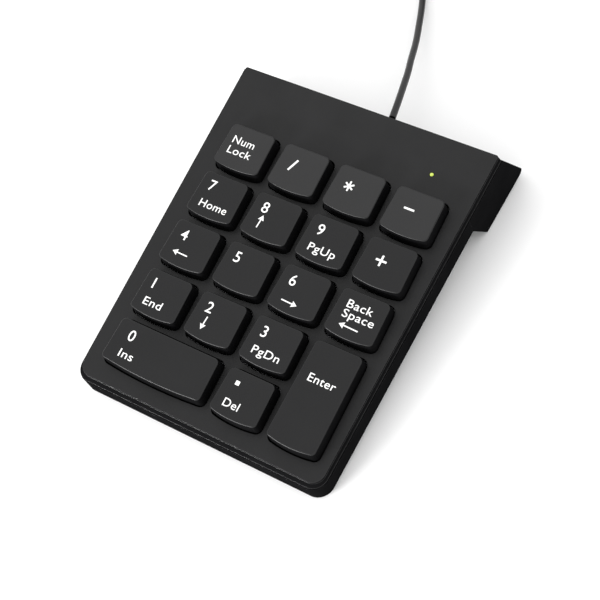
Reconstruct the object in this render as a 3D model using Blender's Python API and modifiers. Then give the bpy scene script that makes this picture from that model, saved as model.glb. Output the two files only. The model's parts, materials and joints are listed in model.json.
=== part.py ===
"""Wired numeric keypad: eighteen sprung keys in a tilted two-part case, with its USB lead.

Everything but the lead is drawn in the panel's own axes and then tilted: X runs across,
Y runs to the rear along the top plate and Z stands out of it, from the middle of the
case's outline on the plate's face.  The world origin is on the table under the case.
"""
import bpy
import bmesh
from math import asin, atan2, ceil, cos, hypot, pi, radians, sin, sqrt, tan
from mathutils import Matrix, Vector

MM = 0.001
GAP = 0.3 * MM                     # space left between any two pieces that would touch

# The case, in the panel's axes
TILT = radians(6.7)                # the rear stands higher
CASE_FRONT_WIDTH = 85.2 * MM       # the case grows wider towards the rear
CASE_REAR_WIDTH = 89.2 * MM
CASE_FRONT_Y = -54.1 * MM
CASE_REAR_Y = 54.4 * MM
CASE_DEPTH = 8.8 * MM              # from the plate's face to the underside
FRONT_RADIUS = 5.0 * MM
REAR_RADIUS = 1.6 * MM
PLATE_THICKNESS = 1.4 * MM
BEVEL_DROP = 1.2 * MM
BEVEL_SIDE = 0.95 * MM
BEVEL_FRONT = 0.85 * MM
LEDGE = 0.3 * MM                   # how far the lower casing stands out past the cover
REAR_OVERHANG = 0.2 * MM           # how far the cover stands out past the lower casing's rear
RIM_Z = -PLATE_THICKNESS - GAP     # top of the lower casing's wall
WALL = 1.8 * MM
FLOOR = 1.3 * MM
UNDERSIDE_CHAMFER = 0.7 * MM
FRONT_LEAN = 1.1 * MM              # how far the front wall leans out at its foot

# The raised foot along the rear, as (y, z) corners of its section
FOOT_REAR_BOTTOM = (62.0 * MM, -21.2 * MM)
FOOT_FRONT_BOTTOM = (38.9 * MM, -19.9 * MM)
FOOT_FRONT_TOP = (33.5 * MM, -8.2 * MM)
FOOT_EDGE_RADIUS = 1.5 * MM
FOOT_CLEARANCE = 0.4 * MM          # from its front lower edge to the table

# The keys
PITCH_X = 19.05 * MM
PITCH_Y = 17.0 * MM
FIELD_X = 1.1 * MM                 # middle of the four columns
ROW_0_Y = 28.1 * MM                # middle of the rearmost row
KEY_RISE = 3.8 * MM                # key top above the plate
KEY_TRAVEL = 2.2 * MM
KEY_REAR_WIDTH = 14.9 * MM
KEY_FRONT_WIDTH = 15.6 * MM
KEY_DEPTH = 13.2 * MM
KEY_SMILE = 0.9 * MM               # how far the front edge bows out
KEY_FRONT_RADIUS = 1.3 * MM
KEY_REAR_RADIUS = 1.6 * MM
KEY_FLARE = 0.41 * MM              # the skirt's growth from top to bottom
KEY_EDGE = 0.35 * MM
KEY_SKIRT_Z = -1.2 * MM
KEY_WALL = 1.2 * MM
KEY_ROOF = 1.3 * MM
OPENING_GAP = 0.4 * MM
STEM_RADIUS = 2.0 * MM
STEM_BOTTOM = -2.3 * MM

# Name, column, row, columns covered and rows covered of each key
KEYS = [
    ("key_num_lock", 0, 0, 1, 1), ("key_divide", 1, 0, 1, 1),
    ("key_multiply", 2, 0, 1, 1), ("key_minus", 3, 0, 1, 1),
    ("key_7", 0, 1, 1, 1), ("key_8", 1, 1, 1, 1), ("key_9", 2, 1, 1, 1), ("key_plus", 3, 1, 1, 1),
    ("key_4", 0, 2, 1, 1), ("key_5", 1, 2, 1, 1), ("key_6", 2, 2, 1, 1), ("key_backspace", 3, 2, 1, 1),
    ("key_1", 0, 3, 1, 1), ("key_2", 1, 3, 1, 1), ("key_3", 2, 3, 1, 1), ("key_enter", 3, 3, 1, 2),
    ("key_0", 0, 4, 2, 1), ("key_decimal", 2, 4, 1, 1),
]

# The layers under the keys, as (bottom, top)
FRAME_Z = (-5.1 * MM, -4.3 * MM)
RUBBER_Z = (-5.8 * MM, -5.4 * MM)
MEMBRANE_Z = (-6.4 * MM, -6.1 * MM)
STEEL_Z = (-7.2 * MM, -6.7 * MM)
LAYER_HALF_WIDTH = 39.0 * MM
LAYER_Y = (-46.0 * MM, 36.0 * MM)
TURRET_TOP = -0.2 * MM
TURRET_SHOULDER = -3.2 * MM
TURRET_DRUM_RADIUS = 4.9 * MM
TURRET_NECK_RADIUS = 3.4 * MM
DOME_SHOULDER = -3.75 * MM
DOME_TOP = -2.6 * MM
FRAME_SCREW_CELLS = [(0.5, 0.5), (2.5, 0.5), (0.5, 2.5), (2.5, 2.5)]   # between columns, rows

# The stabiliser wires under the two long keys
WIRE_RADIUS = 0.4 * MM
WIRE_LEG = 7.6 * MM
WIRE_BAR_OFFSET = 4.2 * MM         # from the key's middle to the long bar
WIRE_PIVOT_Z = -1.2 * MM
WIRE_HALF_SPAN = {"key_0": 12.5 * MM, "key_enter": 11.0 * MM}

# The electronics behind the keys
BOARD_X = (-24.0 * MM, 31.5 * MM)
BOARD_Y = (38.2 * MM, 48.4 * MM)
BOARD_Z = (-7.9 * MM, -6.7 * MM)
LED_XY = (27.9 * MM, 42.3 * MM)
LENS_RADIUS = 0.85 * MM
CLAMP_SCREW_X = (-20.0 * MM, -2.0 * MM)
CLAMP_Y = 43.7 * MM

# Case screws: (x, y) in the panel's plane
FRONT_SCREWS = [(-38.3 * MM, -49.7 * MM), (38.3 * MM, -49.7 * MM)]
REAR_SCREWS = [(-36.5 * MM, 45.5 * MM), (36.5 * MM, 45.5 * MM)]

# Rubber feet
PAD_RADIUS = 5.0 * MM
FRONT_PAD_XY = (30.0 * MM, -44.5 * MM)
REAR_PAD_XY = (30.0 * MM, 51.0 * MM)

# The lead
CORD_RADIUS = 1.1 * MM
CORD_LENGTH = 1200 * MM
EXIT_X = 5.3 * MM
EXIT_Z = -7.0 * MM                 # in the panel's axes, on the sloping rear face
CORD_POINT_SPACING = 2.6 * 2 * CORD_RADIUS
CORD_ROUTE = [                     # world coordinates, from the case to the coil
    (5.3, 53.2, 15.4), (4.0, 58.9, 14.9), (1.7, 66.6, 13.1), (-0.2, 72.4, 11.5),
    (-2.3, 77.8, 9.9), (-5.4, 86.2, 7.3), (-9.3, 95.3, 4.9), (-12.7, 102.9, 3.1),
    (-15.9, 109.3, 2.0), (-19.3, 116.3, 1.4), (-22.6, 123.2, 1.15), (-25.6, 129.6, 1.15),
]
CORD_END_ROUTE = [                 # world coordinates, from the coil to the plug
    (-3.9, 154.4, 2.0), (0.6, 153.0, 2.2), (4.8, 151.9, 3.1), (8.7, 151.15, 3.9),
]
COIL_CENTRE = (-8.7 * MM, 136.6 * MM)
COIL_MEAN_RADIUS = 12.5 * MM
COIL_SIDE = 8.8 * MM               # the bundle is four cords wide and four high
COIL_BOTTOM = 0.85 * MM
PLUG_AT = (9.0 * MM, 151.1 * MM, 3.95 * MM)
PLUG_HEADING = radians(-6.0)

BLACK = (0.012, 0.012, 0.013)
DARK_GREY = (0.03, 0.03, 0.032)


# ---------------------------------------------------------------- materials and objects

def make_material(name, color, roughness, metallic=0.0, emission=0.0):
    """A plain Principled material."""
    material = bpy.data.materials.new(name)
    material.use_nodes = True
    shader = material.node_tree.nodes["Principled BSDF"]
    shader.inputs["Base Color"].default_value = (*color, 1.0)
    shader.inputs["Roughness"].default_value = roughness
    shader.inputs["Metallic"].default_value = metallic
    shader.inputs["Emission Color"].default_value = (*color, 1.0)
    shader.inputs["Emission Strength"].default_value = emission
    return material


def link(name, mesh, collection, parent=None, location=(0, 0, 0)):
    """Put a mesh in the scene as one object."""
    obj = bpy.data.objects.new(name, mesh)
    collection.objects.link(obj)
    obj.parent = parent
    obj.location = location
    return obj


def mesh_from(bm, name):
    """Turn a bmesh into a mesh with its faces pointing out."""
    bmesh.ops.recalc_face_normals(bm, faces=bm.faces)
    mesh = bpy.data.meshes.new(name)
    bm.to_mesh(mesh)
    bm.free()
    return mesh


def add_part(name, mesh, material, location=(0, 0, 0), parent="panel"):
    """One named sub-part with its own material, smooth where it is round."""
    obj = link(name, mesh, PARTS, AXES.get(parent), location)
    obj.data.materials.clear()
    obj.data.materials.append(material)
    obj.data.shade_smooth()
    obj.data.set_sharp_from_angle(angle=radians(35))
    return obj


def add_cutter(name, mesh, parent="panel", location=(0, 0, 0)):
    """A helper solid for a Boolean, which isn't part of the keypad."""
    obj = link(name, mesh, CUTTERS, AXES.get(parent), location)
    obj.hide_render = True
    obj.display_type = "WIRE"
    return obj


def boolean(obj, operation, cutter):
    """Join or cut an object with a helper solid."""
    modifier = obj.modifiers.new(f"{operation.lower()}_{cutter.name}"[:60], "BOOLEAN")
    modifier.operation = operation
    modifier.object = cutter
    modifier.solver = "EXACT"


def baked(obj, name):
    """The object's evaluated mesh, as new mesh data in its own axes."""
    bpy.context.view_layer.update()
    depsgraph = bpy.context.evaluated_depsgraph_get()
    mesh = bpy.data.meshes.new_from_object(obj.evaluated_get(depsgraph))
    mesh.name = name
    return mesh


# ---------------------------------------------------------------- outlines and solids

def fillet(corners, steps=3):
    """Round a polygon: corners are (x, y, radius), and radius 0 keeps a point sharp."""
    points = []
    count = len(corners)
    for index, (x, y, radius) in enumerate(corners):
        corner = Vector((x, y))
        if radius <= 0:
            points.append(corner)
            continue
        before = (Vector(corners[index - 1][:2]) - corner).normalized()
        after = (Vector(corners[(index + 1) % count][:2]) - corner).normalized()
        half = before.angle(after) / 2
        centre = corner + (before + after).normalized() * radius / sin(half)
        start = corner + before * radius / tan(half)
        end = corner + after * radius / tan(half)
        first = atan2(*(start - centre).yx)
        sweep = (atan2(*(end - centre).yx) - first + pi) % (2 * pi) - pi
        for step in range(steps + 1):
            angle = first + sweep * step / steps
            points.append(centre + radius * Vector((cos(angle), sin(angle))))
    return points


def rectangle(x0, x1, y0, y1, radius=0.0, steps=2):
    """A rectangle's outline with equal corner radii."""
    corners = [(x0, y0), (x1, y0), (x1, y1), (x0, y1)]
    return fillet([(x, y, radius) for x, y in corners], steps)


def half_width(y):
    """Half the case's width at a place along it."""
    share = (y - CASE_FRONT_Y) / (CASE_REAR_Y - CASE_FRONT_Y)
    return (CASE_FRONT_WIDTH * (1 - share) + CASE_REAR_WIDTH * share) / 2


def case_outline(grow_side=0.0, grow_front=0.0, grow_rear=0.0):
    """The case's plan, grown or (with negative values) shrunk."""
    front = CASE_FRONT_Y - grow_front
    rear = CASE_REAR_Y + grow_rear
    front_half = half_width(front) + grow_side
    rear_half = half_width(rear) + grow_side
    front_radius = FRONT_RADIUS + min(grow_side, grow_front)
    rear_radius = max(REAR_RADIUS + min(grow_side, grow_rear), 0.6 * MM)
    return fillet([(-front_half, front, front_radius), (front_half, front, front_radius),
                   (rear_half, rear, rear_radius), (-rear_half, rear, rear_radius)], 4)


def key_outline(columns, rows, grow=0.0):
    """A key's plan: a rounded rectangle whose front edge bows out."""
    extra_x = (columns - 1) * PITCH_X / 2
    extra_y = (rows - 1) * PITCH_Y / 2
    front_half = KEY_FRONT_WIDTH / 2 + extra_x + grow
    rear_half = KEY_REAR_WIDTH / 2 + extra_x + grow
    front = -KEY_DEPTH / 2 - extra_y - grow
    rear = KEY_DEPTH / 2 + extra_y + grow
    corners = [(-front_half, front, KEY_FRONT_RADIUS + grow)]
    for part in (-0.6, -0.2, 0.2, 0.6):
        corners.append((part * front_half, front - KEY_SMILE * (1 - part * part), 0))
    corners.append((front_half, front, KEY_FRONT_RADIUS + grow))
    corners.append((rear_half, rear, KEY_REAR_RADIUS + grow))
    corners.append((-rear_half, rear, KEY_REAR_RADIUS + grow))
    return fillet(corners, 2)


def add_loft(bm, rings):
    """A closed solid through level outlines: rings are (outline, z) with equal counts."""
    loops = []
    for outline, z in rings:
        loops.append([bm.verts.new((p[0], p[1], z)) for p in outline])
    count = len(loops[0])
    for lower, upper in zip(loops, loops[1:]):
        for i in range(count):
            j = (i + 1) % count
            bm.faces.new((lower[i], lower[j], upper[j], upper[i]))
    bm.faces.new(loops[0])
    bm.faces.new(loops[-1])


def loft(name, rings):
    """A mesh holding one loft."""
    bm = bmesh.new()
    add_loft(bm, rings)
    return mesh_from(bm, name)


def prism(name, outline, bottom, top):
    """A mesh holding one straight prism."""
    return loft(name, [(outline, bottom), (outline, top)])


def add_cylinder(bm, centre, radius, bottom, top, sides=16, top_radius=None):
    """An upright cylinder or cone."""
    top_radius = radius if top_radius is None else top_radius
    place = Matrix.Translation((centre[0], centre[1], (bottom + top) / 2))
    bmesh.ops.create_cone(bm, cap_ends=True, segments=sides, radius1=radius,
                          radius2=top_radius, depth=top - bottom, matrix=place)


def cylinders(name, entries, sides=16):
    """A mesh of separate upright cylinders: entries are (centre, radius, bottom, top)."""
    bm = bmesh.new()
    for centre, radius, bottom, top in entries:
        add_cylinder(bm, centre, radius, bottom, top, sides)
    return mesh_from(bm, name)


def box(name, low, high):
    """A box between two corners."""
    bm = bmesh.new()
    low, high = Vector(low), Vector(high)
    place = Matrix.Translation((low + high) / 2) @ Matrix.Diagonal((*(high - low), 1))
    bmesh.ops.create_cube(bm, size=1.0, matrix=place)
    return mesh_from(bm, name)


def boxes(name, corners):
    """A mesh of separate boxes: corners are (low, high) pairs."""
    bm = bmesh.new()
    for low, high in corners:
        low, high = Vector(low), Vector(high)
        place = Matrix.Translation((low + high) / 2) @ Matrix.Diagonal((*(high - low), 1))
        bmesh.ops.create_cube(bm, size=1.0, matrix=place)
    return mesh_from(bm, name)


def turned(name, profile, material, parent="panel", steps=16, ring=False):
    """A turned solid from (radius, height) points running down its outer side."""
    bm = bmesh.new()
    verts = [bm.verts.new((radius, 0, height)) for radius, height in profile]
    for first, second in zip(verts, verts[1:]):
        bm.edges.new((first, second))
    if ring:
        bm.edges.new((verts[-1], verts[0]))
    mesh = bpy.data.meshes.new(name)
    bm.to_mesh(mesh)
    bm.free()
    obj = add_part(name, mesh, material, parent=parent)
    screw = obj.modifiers.new("turn", "SCREW")
    screw.steps = steps
    screw.render_steps = steps
    screw.merge_threshold = 0.00001
    screw.use_merge_vertices = True
    return obj


def smooth_path(points, spacing):
    """Points at an even spacing along a smooth curve through the given ones."""
    given = [Vector(p) for p in points]
    ends = [given[0] * 2 - given[1]] + given + [given[-1] * 2 - given[-2]]
    dense = []
    for a, b, c, d in zip(ends, ends[1:], ends[2:], ends[3:]):
        for step in range(20):
            t = step / 20
            dense.append(0.5 * ((2 * b) + (c - a) * t + (2 * a - 5 * b + 4 * c - d) * t ** 2
                                + (3 * b - a - 3 * c + d) * t ** 3))
    dense.append(given[-1])
    lengths = [0.0]
    for first, second in zip(dense, dense[1:]):
        lengths.append(lengths[-1] + (second - first).length)
    count = max(2, ceil(lengths[-1] / spacing))
    path = []
    index = 0
    for step in range(count + 1):
        wanted = lengths[-1] * step / count
        while index < len(dense) - 2 and lengths[index + 1] < wanted:
            index += 1
        part = (wanted - lengths[index]) / (lengths[index + 1] - lengths[index])
        path.append(dense[index].lerp(dense[index + 1], part))
    return path


def tube(name, points, radius, material, parent=None, location=(0, 0, 0), closed=False):
    """A round tube or wire along a chain of points."""
    curve = bpy.data.curves.new(name, "CURVE")
    curve.dimensions = "3D"
    curve.bevel_depth = radius
    curve.bevel_resolution = 2
    curve.use_fill_caps = not closed
    spline = curve.splines.new("POLY")
    spline.points.add(len(points) - 1)
    for point, at in zip(spline.points, points):
        point.co = (*at, 1.0)
    spline.use_cyclic_u = closed
    obj = bpy.data.objects.new(name, curve)
    PARTS.objects.link(obj)
    obj.parent = AXES.get(parent)
    obj.location = location
    curve.materials.append(material)
    return obj


# ---------------------------------------------------------------- the panel's place

def foot_section(shrink=0.0):
    """The rear foot's section as (y, z) corners with radii, shrunk for its hollow."""
    top_rear = (CASE_REAR_Y, RIM_Z)
    corners = [Vector(top_rear), Vector(FOOT_REAR_BOTTOM), Vector(FOOT_FRONT_BOTTOM),
               Vector(FOOT_FRONT_TOP)]
    rear = (corners[1] - corners[0]).normalized()
    base = (corners[2] - corners[1]).normalized()
    front = (corners[3] - corners[2]).normalized()
    rear_in = Vector((rear.y, -rear.x))
    base_in = Vector((base.y, -base.x))
    front_in = Vector((front.y, -front.x))
    moved = []
    pairs = [(corners[0], rear, rear_in, None, None), (corners[1], rear, rear_in, base, base_in),
             (corners[2], base, base_in, front, front_in), (corners[3], front, front_in, None, None)]
    for corner, along, inward, other_along, other_inward in pairs:
        if other_along is None:
            moved.append(corner + inward * shrink)
            continue
        turn = along.x * other_along.y - along.y * other_along.x
        offset = (other_inward - inward) * shrink
        reach = (offset.x * other_along.y - offset.y * other_along.x) / turn
        moved.append(corner + inward * shrink + along * reach)
    return moved


def foot_outline():
    """The foot's section with its lower edges rounded."""
    top_rear, low_rear, low_front, top_front = foot_section()
    inside = Vector((FOOT_FRONT_TOP[0], top_rear.y))
    return fillet([(*top_rear, 0), (*inside, 0), (*top_front, 0),
                   (*low_front, 1.0 * MM), (*low_rear, FOOT_EDGE_RADIUS)])


def place_panel():
    """The empty that tilts everything but the lead, centred over the world origin."""
    rear = max(p.x * cos(TILT) - p.y * sin(TILT) for p in foot_outline())
    front = CASE_FRONT_Y * cos(TILT) - RIM_Z * sin(TILT)
    height = FOOT_CLEARANCE - (FOOT_FRONT_BOTTOM[0] * sin(TILT) + FOOT_FRONT_BOTTOM[1] * cos(TILT))
    empty = bpy.data.objects.new("panel_axes", None)
    PARTS.objects.link(empty)
    empty.location = (0, -(rear + front) / 2, height)
    empty.rotation_euler = (TILT, 0, 0)
    return empty


def column_x(column):
    return FIELD_X + (column - 1.5) * PITCH_X


def row_y(row):
    return ROW_0_Y - row * PITCH_Y


def key_centre(column, row, columns, rows):
    return (column_x(column) + (columns - 1) * PITCH_X / 2, row_y(row) - (rows - 1) * PITCH_Y / 2)


KEY_CENTRES = {name: key_centre(*cell) for name, *cell in KEYS}


# ---------------------------------------------------------------- the casings

def make_top_cover(material):
    """The upper casing: the bevelled plate, its openings, locating rib and screw bosses."""
    rings = [
        (case_outline(-LEDGE, -LEDGE, REAR_OVERHANG), -PLATE_THICKNESS),
        (case_outline(-LEDGE, -LEDGE, REAR_OVERHANG), -BEVEL_DROP),
        (case_outline(-LEDGE - BEVEL_SIDE, -LEDGE - BEVEL_FRONT, REAR_OVERHANG), 0),
    ]
    cover = add_part("top_cover", loft("top_cover", rings), material)
    reach = WALL + GAP
    rib = add_cutter("cover_rib", prism("cover_rib", case_outline(-reach, -reach, -reach),
                                        -3.4 * MM, -PLATE_THICKNESS / 2))
    inner = reach + 1.0 * MM
    boolean(rib, "DIFFERENCE", add_cutter("cover_rib_hollow", prism(
        "cover_rib_hollow", case_outline(-inner, -inner, -inner), -4 * MM, -PLATE_THICKNESS)))
    boolean(cover, "UNION", rib)
    bosses = [(at, 1.9 * MM, -5.1 * MM, -1.0 * MM) for at in FRONT_SCREWS]
    bosses += [(at, 2.4 * MM, -6.7 * MM, -1.0 * MM) for at in REAR_SCREWS]
    boolean(cover, "UNION", add_cutter("cover_bosses", cylinders("cover_bosses", bosses)))
    pilots = [(at, 1.2 * MM, -6.0 * MM, -2.3 * MM) for at in FRONT_SCREWS]
    pilots += [(at, 1.2 * MM, -8.0 * MM, -3.1 * MM) for at in REAR_SCREWS]
    pilots.append((LED_XY, LENS_RADIUS + GAP, -3.0 * MM, 1.0 * MM))
    boolean(cover, "DIFFERENCE", add_cutter("cover_holes", cylinders("cover_holes", pilots, 12)))
    bm = bmesh.new()
    for name, column, row, columns, rows in KEYS:
        centre = Vector(KEY_CENTRES[name])
        outline = [p + centre for p in key_outline(columns, rows, KEY_FLARE + OPENING_GAP)]
        add_loft(bm, [(outline, -5 * MM), (outline, 2 * MM)])
    boolean(cover, "DIFFERENCE", add_cutter("key_openings", mesh_from(bm, "key_openings")))


def section_prism(name, corners, inset):
    """A (y, z) section carried across the keypad, to an inset from its sides."""
    bm = bmesh.new()
    sides = []
    for sign in (-1, 1):
        sides.append([bm.verts.new((sign * (half_width(p[0]) - inset), p[0], p[1])) for p in corners])
        bm.faces.new(sides[-1])
    count = len(corners)
    for i in range(count):
        j = (i + 1) % count
        bm.faces.new((sides[0][i], sides[0][j], sides[1][j], sides[1][i]))
    return mesh_from(bm, name)


def rear_foot_hollow():
    """The space inside the raised foot, open to the tray above it."""
    top_rear, low_rear, low_front, top_front = foot_section(WALL)
    rise = 3 * MM
    slope = (top_rear.x - low_rear.x) / (top_rear.y - low_rear.y)
    corners = [(top_rear.x + rise * slope, top_rear.y + rise), (top_front.x, top_rear.y + rise),
               top_front, low_front, low_rear]
    return section_prism("rear_foot_hollow", corners, WALL)


def make_bottom_case(material):
    """The lower casing: a tray with a rim, the raised rear foot, wells, bosses and pillars."""
    rings = [
        (case_outline(-UNDERSIDE_CHAMFER, FRONT_LEAN - UNDERSIDE_CHAMFER, 0), -CASE_DEPTH),
        (case_outline(0, FRONT_LEAN, 0), -CASE_DEPTH + UNDERSIDE_CHAMFER),
        (case_outline(), RIM_Z),
    ]
    case = add_part("bottom_case", loft("bottom_case", rings), material)
    boolean(case, "UNION", add_cutter("rear_foot", section_prism("rear_foot", foot_outline(), 0)))
    floor = -CASE_DEPTH + FLOOR
    boolean(case, "DIFFERENCE", add_cutter("tray_hollow", prism(
        "tray_hollow", case_outline(-WALL, -WALL, -WALL), floor, 1 * MM)))
    boolean(case, "DIFFERENCE", add_cutter("foot_hollow", rear_foot_hollow()))
    posts = [(at, 2.8 * MM, floor - 0.5 * MM, -5.4 * MM) for at in FRONT_SCREWS]
    posts += [(at, 3.6 * MM, -19.4 * MM, -7.0 * MM) for at in REAR_SCREWS]
    posts += [((x, CLAMP_Y), 2.4 * MM, -19.4 * MM, BOARD_Z[0] - GAP) for x in CLAMP_SCREW_X]
    boolean(case, "UNION", add_cutter("case_posts", cylinders("case_posts", posts)))
    bores = [(at, 1.9 * MM, -12 * MM, -7.4 * MM) for at in FRONT_SCREWS]
    bores += [(at, 2.5 * MM, -30 * MM, -8.6 * MM) for at in REAR_SCREWS]
    boolean(case, "DIFFERENCE", add_cutter("screw_wells", cylinders("screw_wells", bores)))
    holes = [(at, 1.2 * MM, -10 * MM, -4 * MM) for at in FRONT_SCREWS + REAR_SCREWS]
    holes += [((x, CLAMP_Y), 1.2 * MM, -14.5 * MM, -7 * MM) for x in CLAMP_SCREW_X]
    boolean(case, "DIFFERENCE", add_cutter("screw_holes", cylinders("screw_holes", holes, 12)))
    exit_hole = cylinders("cord_hole", [((0, 0), 2.6 * MM, -6 * MM, 6 * MM)])
    exit_hole.transform(Matrix.Translation((EXIT_X, rear_face_y(EXIT_Z), EXIT_Z))
                        @ Matrix.Rotation(pi / 2, 4, "X"))
    boolean(case, "DIFFERENCE", add_cutter("cord_hole", exit_hole))


def rear_face_y(z):
    """Where the sloping rear face is, at a height in the panel's axes."""
    top_rear, low_rear = foot_section()[:2]
    return top_rear.x + (low_rear.x - top_rear.x) * (z - top_rear.y) / (low_rear.y - top_rear.y)


# ---------------------------------------------------------------- the keys

def key_solid(columns, rows, wire):
    """A hollow keycap with its stem, about the middle of its foot on the plate."""
    rings = [
        (key_outline(columns, rows, KEY_FLARE), KEY_SKIRT_Z),
        (key_outline(columns, rows, KEY_EDGE * KEY_FLARE / KEY_RISE), KEY_RISE - KEY_EDGE),
        (key_outline(columns, rows, -KEY_EDGE), KEY_RISE),
    ]
    label = f"key_{columns}_{rows}"
    cap = add_cutter(label, loft(label, rings), parent=None)
    roof = KEY_RISE - KEY_ROOF
    hollow = [
        (key_outline(columns, rows, KEY_FLARE - KEY_WALL), KEY_SKIRT_Z - 1 * MM),
        (key_outline(columns, rows, -KEY_WALL), roof),
    ]
    boolean(cap, "DIFFERENCE", add_cutter(f"{label}_hollow", loft(f"{label}_hollow", hollow), None))
    stem = cylinders(f"{label}_stem", [((0, 0), STEM_RADIUS, STEM_BOTTOM, roof + 0.6 * MM)], 12)
    boolean(cap, "UNION", add_cutter(f"{label}_stem", stem, None))
    if wire:
        add_wire_clips(cap, label, roof)
    mesh = baked(cap, label)
    return mesh


def wire_turn(name):
    """The turn from a wire drawn along X to the way that it lies under its key."""
    return Matrix.Identity(4) if name == "key_0" else Matrix.Rotation(pi / 2, 4, "Z")


def add_wire_clips(cap, label, roof):
    """Two slotted ribs under the key's roof, which hold the stabiliser's long bar."""
    turn = wire_turn("key_0" if label == "key_2_1" else "key_enter")
    bar = WIRE_BAR_OFFSET - 0.1 * MM
    bar_z = WIRE_PIVOT_Z + KEY_TRAVEL / 2
    ribs = [((side * 7.0 * MM - 0.7 * MM, bar - 1.8 * MM, -1.1 * MM),
             (side * 7.0 * MM + 0.7 * MM, bar + 1.3 * MM, roof + 0.5 * MM)) for side in (-1, 1)]
    solid = boxes(f"{label}_ribs", ribs)
    solid.transform(turn)
    boolean(cap, "UNION", add_cutter(f"{label}_ribs", solid, None))
    slot = box(f"{label}_slot", (-9 * MM, bar - 0.85 * MM, -3 * MM), (9 * MM, bar + 0.85 * MM,
                                                                    bar_z + 0.8 * MM))
    slot.transform(turn)
    boolean(cap, "DIFFERENCE", add_cutter(f"{label}_slot", slot, None))


def make_keys(material):
    """The eighteen keycaps; the single ones share one mesh."""
    shared = key_solid(1, 1, False)
    for name, column, row, columns, rows in KEYS:
        mesh = shared if (columns, rows) == (1, 1) else key_solid(columns, rows, True)
        add_part(name, mesh, material, location=(*KEY_CENTRES[name], 0))


def make_stabiliser(name, key, material):
    """A bent wire that keeps a long key level; its origin is on its pivot."""
    half = WIRE_HALF_SPAN[key]
    lean = asin(KEY_TRAVEL / 2 / WIRE_LEG)
    far = WIRE_LEG * cos(lean)
    rise = WIRE_LEG * sin(lean)
    bend = 0.8 * MM
    tip = half - 2.6 * MM
    points = [(-tip, 0, 0), (-half + bend, 0, 0)]
    points += [(-half, bend * cos(lean), bend * sin(lean))]
    points += [(-half, far - bend * cos(lean), rise - bend * sin(lean))]
    points += [(-half + bend, far, rise), (half - bend, far, rise)]
    points += [(half, far - bend * cos(lean), rise - bend * sin(lean))]
    points += [(half, bend * cos(lean), bend * sin(lean)), (half - bend, 0, 0), (tip, 0, 0)]
    turn = wire_turn(key)
    centre = Vector((*KEY_CENTRES[key], WIRE_PIVOT_Z))
    pivot = turn @ Vector((0, WIRE_BAR_OFFSET - WIRE_LEG, 0))
    turned_points = [turn @ Vector(p) for p in points]
    tube(name, turned_points, WIRE_RADIUS, material, "panel", centre + pivot)


# ---------------------------------------------------------------- the layers under the keys

def layer_outline(radius=2.0 * MM):
    """The plan that the layers under the keys share."""
    return rectangle(-LAYER_HALF_WIDTH, LAYER_HALF_WIDTH, *LAYER_Y, radius)


def frame_screw_places():
    """Where the four small screws stand, between keys."""
    return [(column_x(column), row_y(row)) for column, row in FRAME_SCREW_CELLS]


def screw_clearance(label, bottom, top):
    """A helper that opens the screws' holes in a layer."""
    holes = [(at, 1.1 * MM, bottom, top) for at in frame_screw_places()]
    return add_cutter(label, cylinders(label, holes, 12))


def wire_posts():
    """The frame's posts that the stabilisers pivot in, and the holes through them."""
    posts = bmesh.new()
    holes = bmesh.new()
    for key, half in WIRE_HALF_SPAN.items():
        place = Matrix.Translation((*KEY_CENTRES[key], 0)) @ wire_turn(key)
        pivot_y = WIRE_BAR_OFFSET - WIRE_LEG
        for side in (-1, 1):
            middle = Vector((side * (half - 1.6 * MM), pivot_y, FRAME_Z[0] / 2))
            size = (1.2 * MM, 2.4 * MM, -FRAME_Z[0])
            spot = place @ Matrix.Translation(middle) @ Matrix.Diagonal((*size, 1))
            bmesh.ops.create_cube(posts, size=1.0, matrix=spot)
            hole_at = Vector((side * (half - 1.6 * MM), pivot_y, WIRE_PIVOT_Z))
            spot = place @ Matrix.Translation(hole_at) @ Matrix.Rotation(pi / 2, 4, "Y")
            bmesh.ops.create_cone(holes, cap_ends=True, segments=10, radius1=0.68 * MM,
                                  radius2=0.68 * MM, depth=2.4 * MM, matrix=spot)
    return mesh_from(posts, "wire_posts"), mesh_from(holes, "wire_post_holes")


def make_guide_frame(material):
    """The frame whose turrets guide the stems and stand over the rubber domes."""
    frame = add_part("key_guide_frame", prism("key_guide_frame", layer_outline(), *FRAME_Z), material)
    middle = sum(FRAME_Z) / 2
    drums = [(at, TURRET_DRUM_RADIUS, middle, TURRET_SHOULDER) for at in KEY_CENTRES.values()]
    necks = [(at, TURRET_NECK_RADIUS, middle, TURRET_TOP) for at in KEY_CENTRES.values()]
    boolean(frame, "UNION", add_cutter("turret_drums", cylinders("turret_drums", drums, 12)))
    boolean(frame, "UNION", add_cutter("turret_necks", cylinders("turret_necks", necks, 12)))
    posts, post_holes = wire_posts()
    boolean(frame, "UNION", add_cutter("wire_posts", posts))
    boolean(frame, "DIFFERENCE", add_cutter("wire_post_holes", post_holes))
    wide = [(at, 4.3 * MM, -7 * MM, DOME_SHOULDER + 0.05 * MM) for at in KEY_CENTRES.values()]
    head = [(at, 2.8 * MM, -6 * MM, DOME_TOP + 0.2 * MM) for at in KEY_CENTRES.values()]
    stem = [(at, STEM_RADIUS + GAP, -5 * MM, 1 * MM) for at in KEY_CENTRES.values()]
    boolean(frame, "DIFFERENCE", add_cutter("turret_wide", cylinders("turret_wide", wide, 12)))
    boolean(frame, "DIFFERENCE", add_cutter("turret_head", cylinders("turret_head", head, 12)))
    boolean(frame, "DIFFERENCE", add_cutter("turret_stem", cylinders("turret_stem", stem, 12)))
    boolean(frame, "DIFFERENCE", screw_clearance("frame_screw_holes", -7 * MM, -4 * MM))


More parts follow.
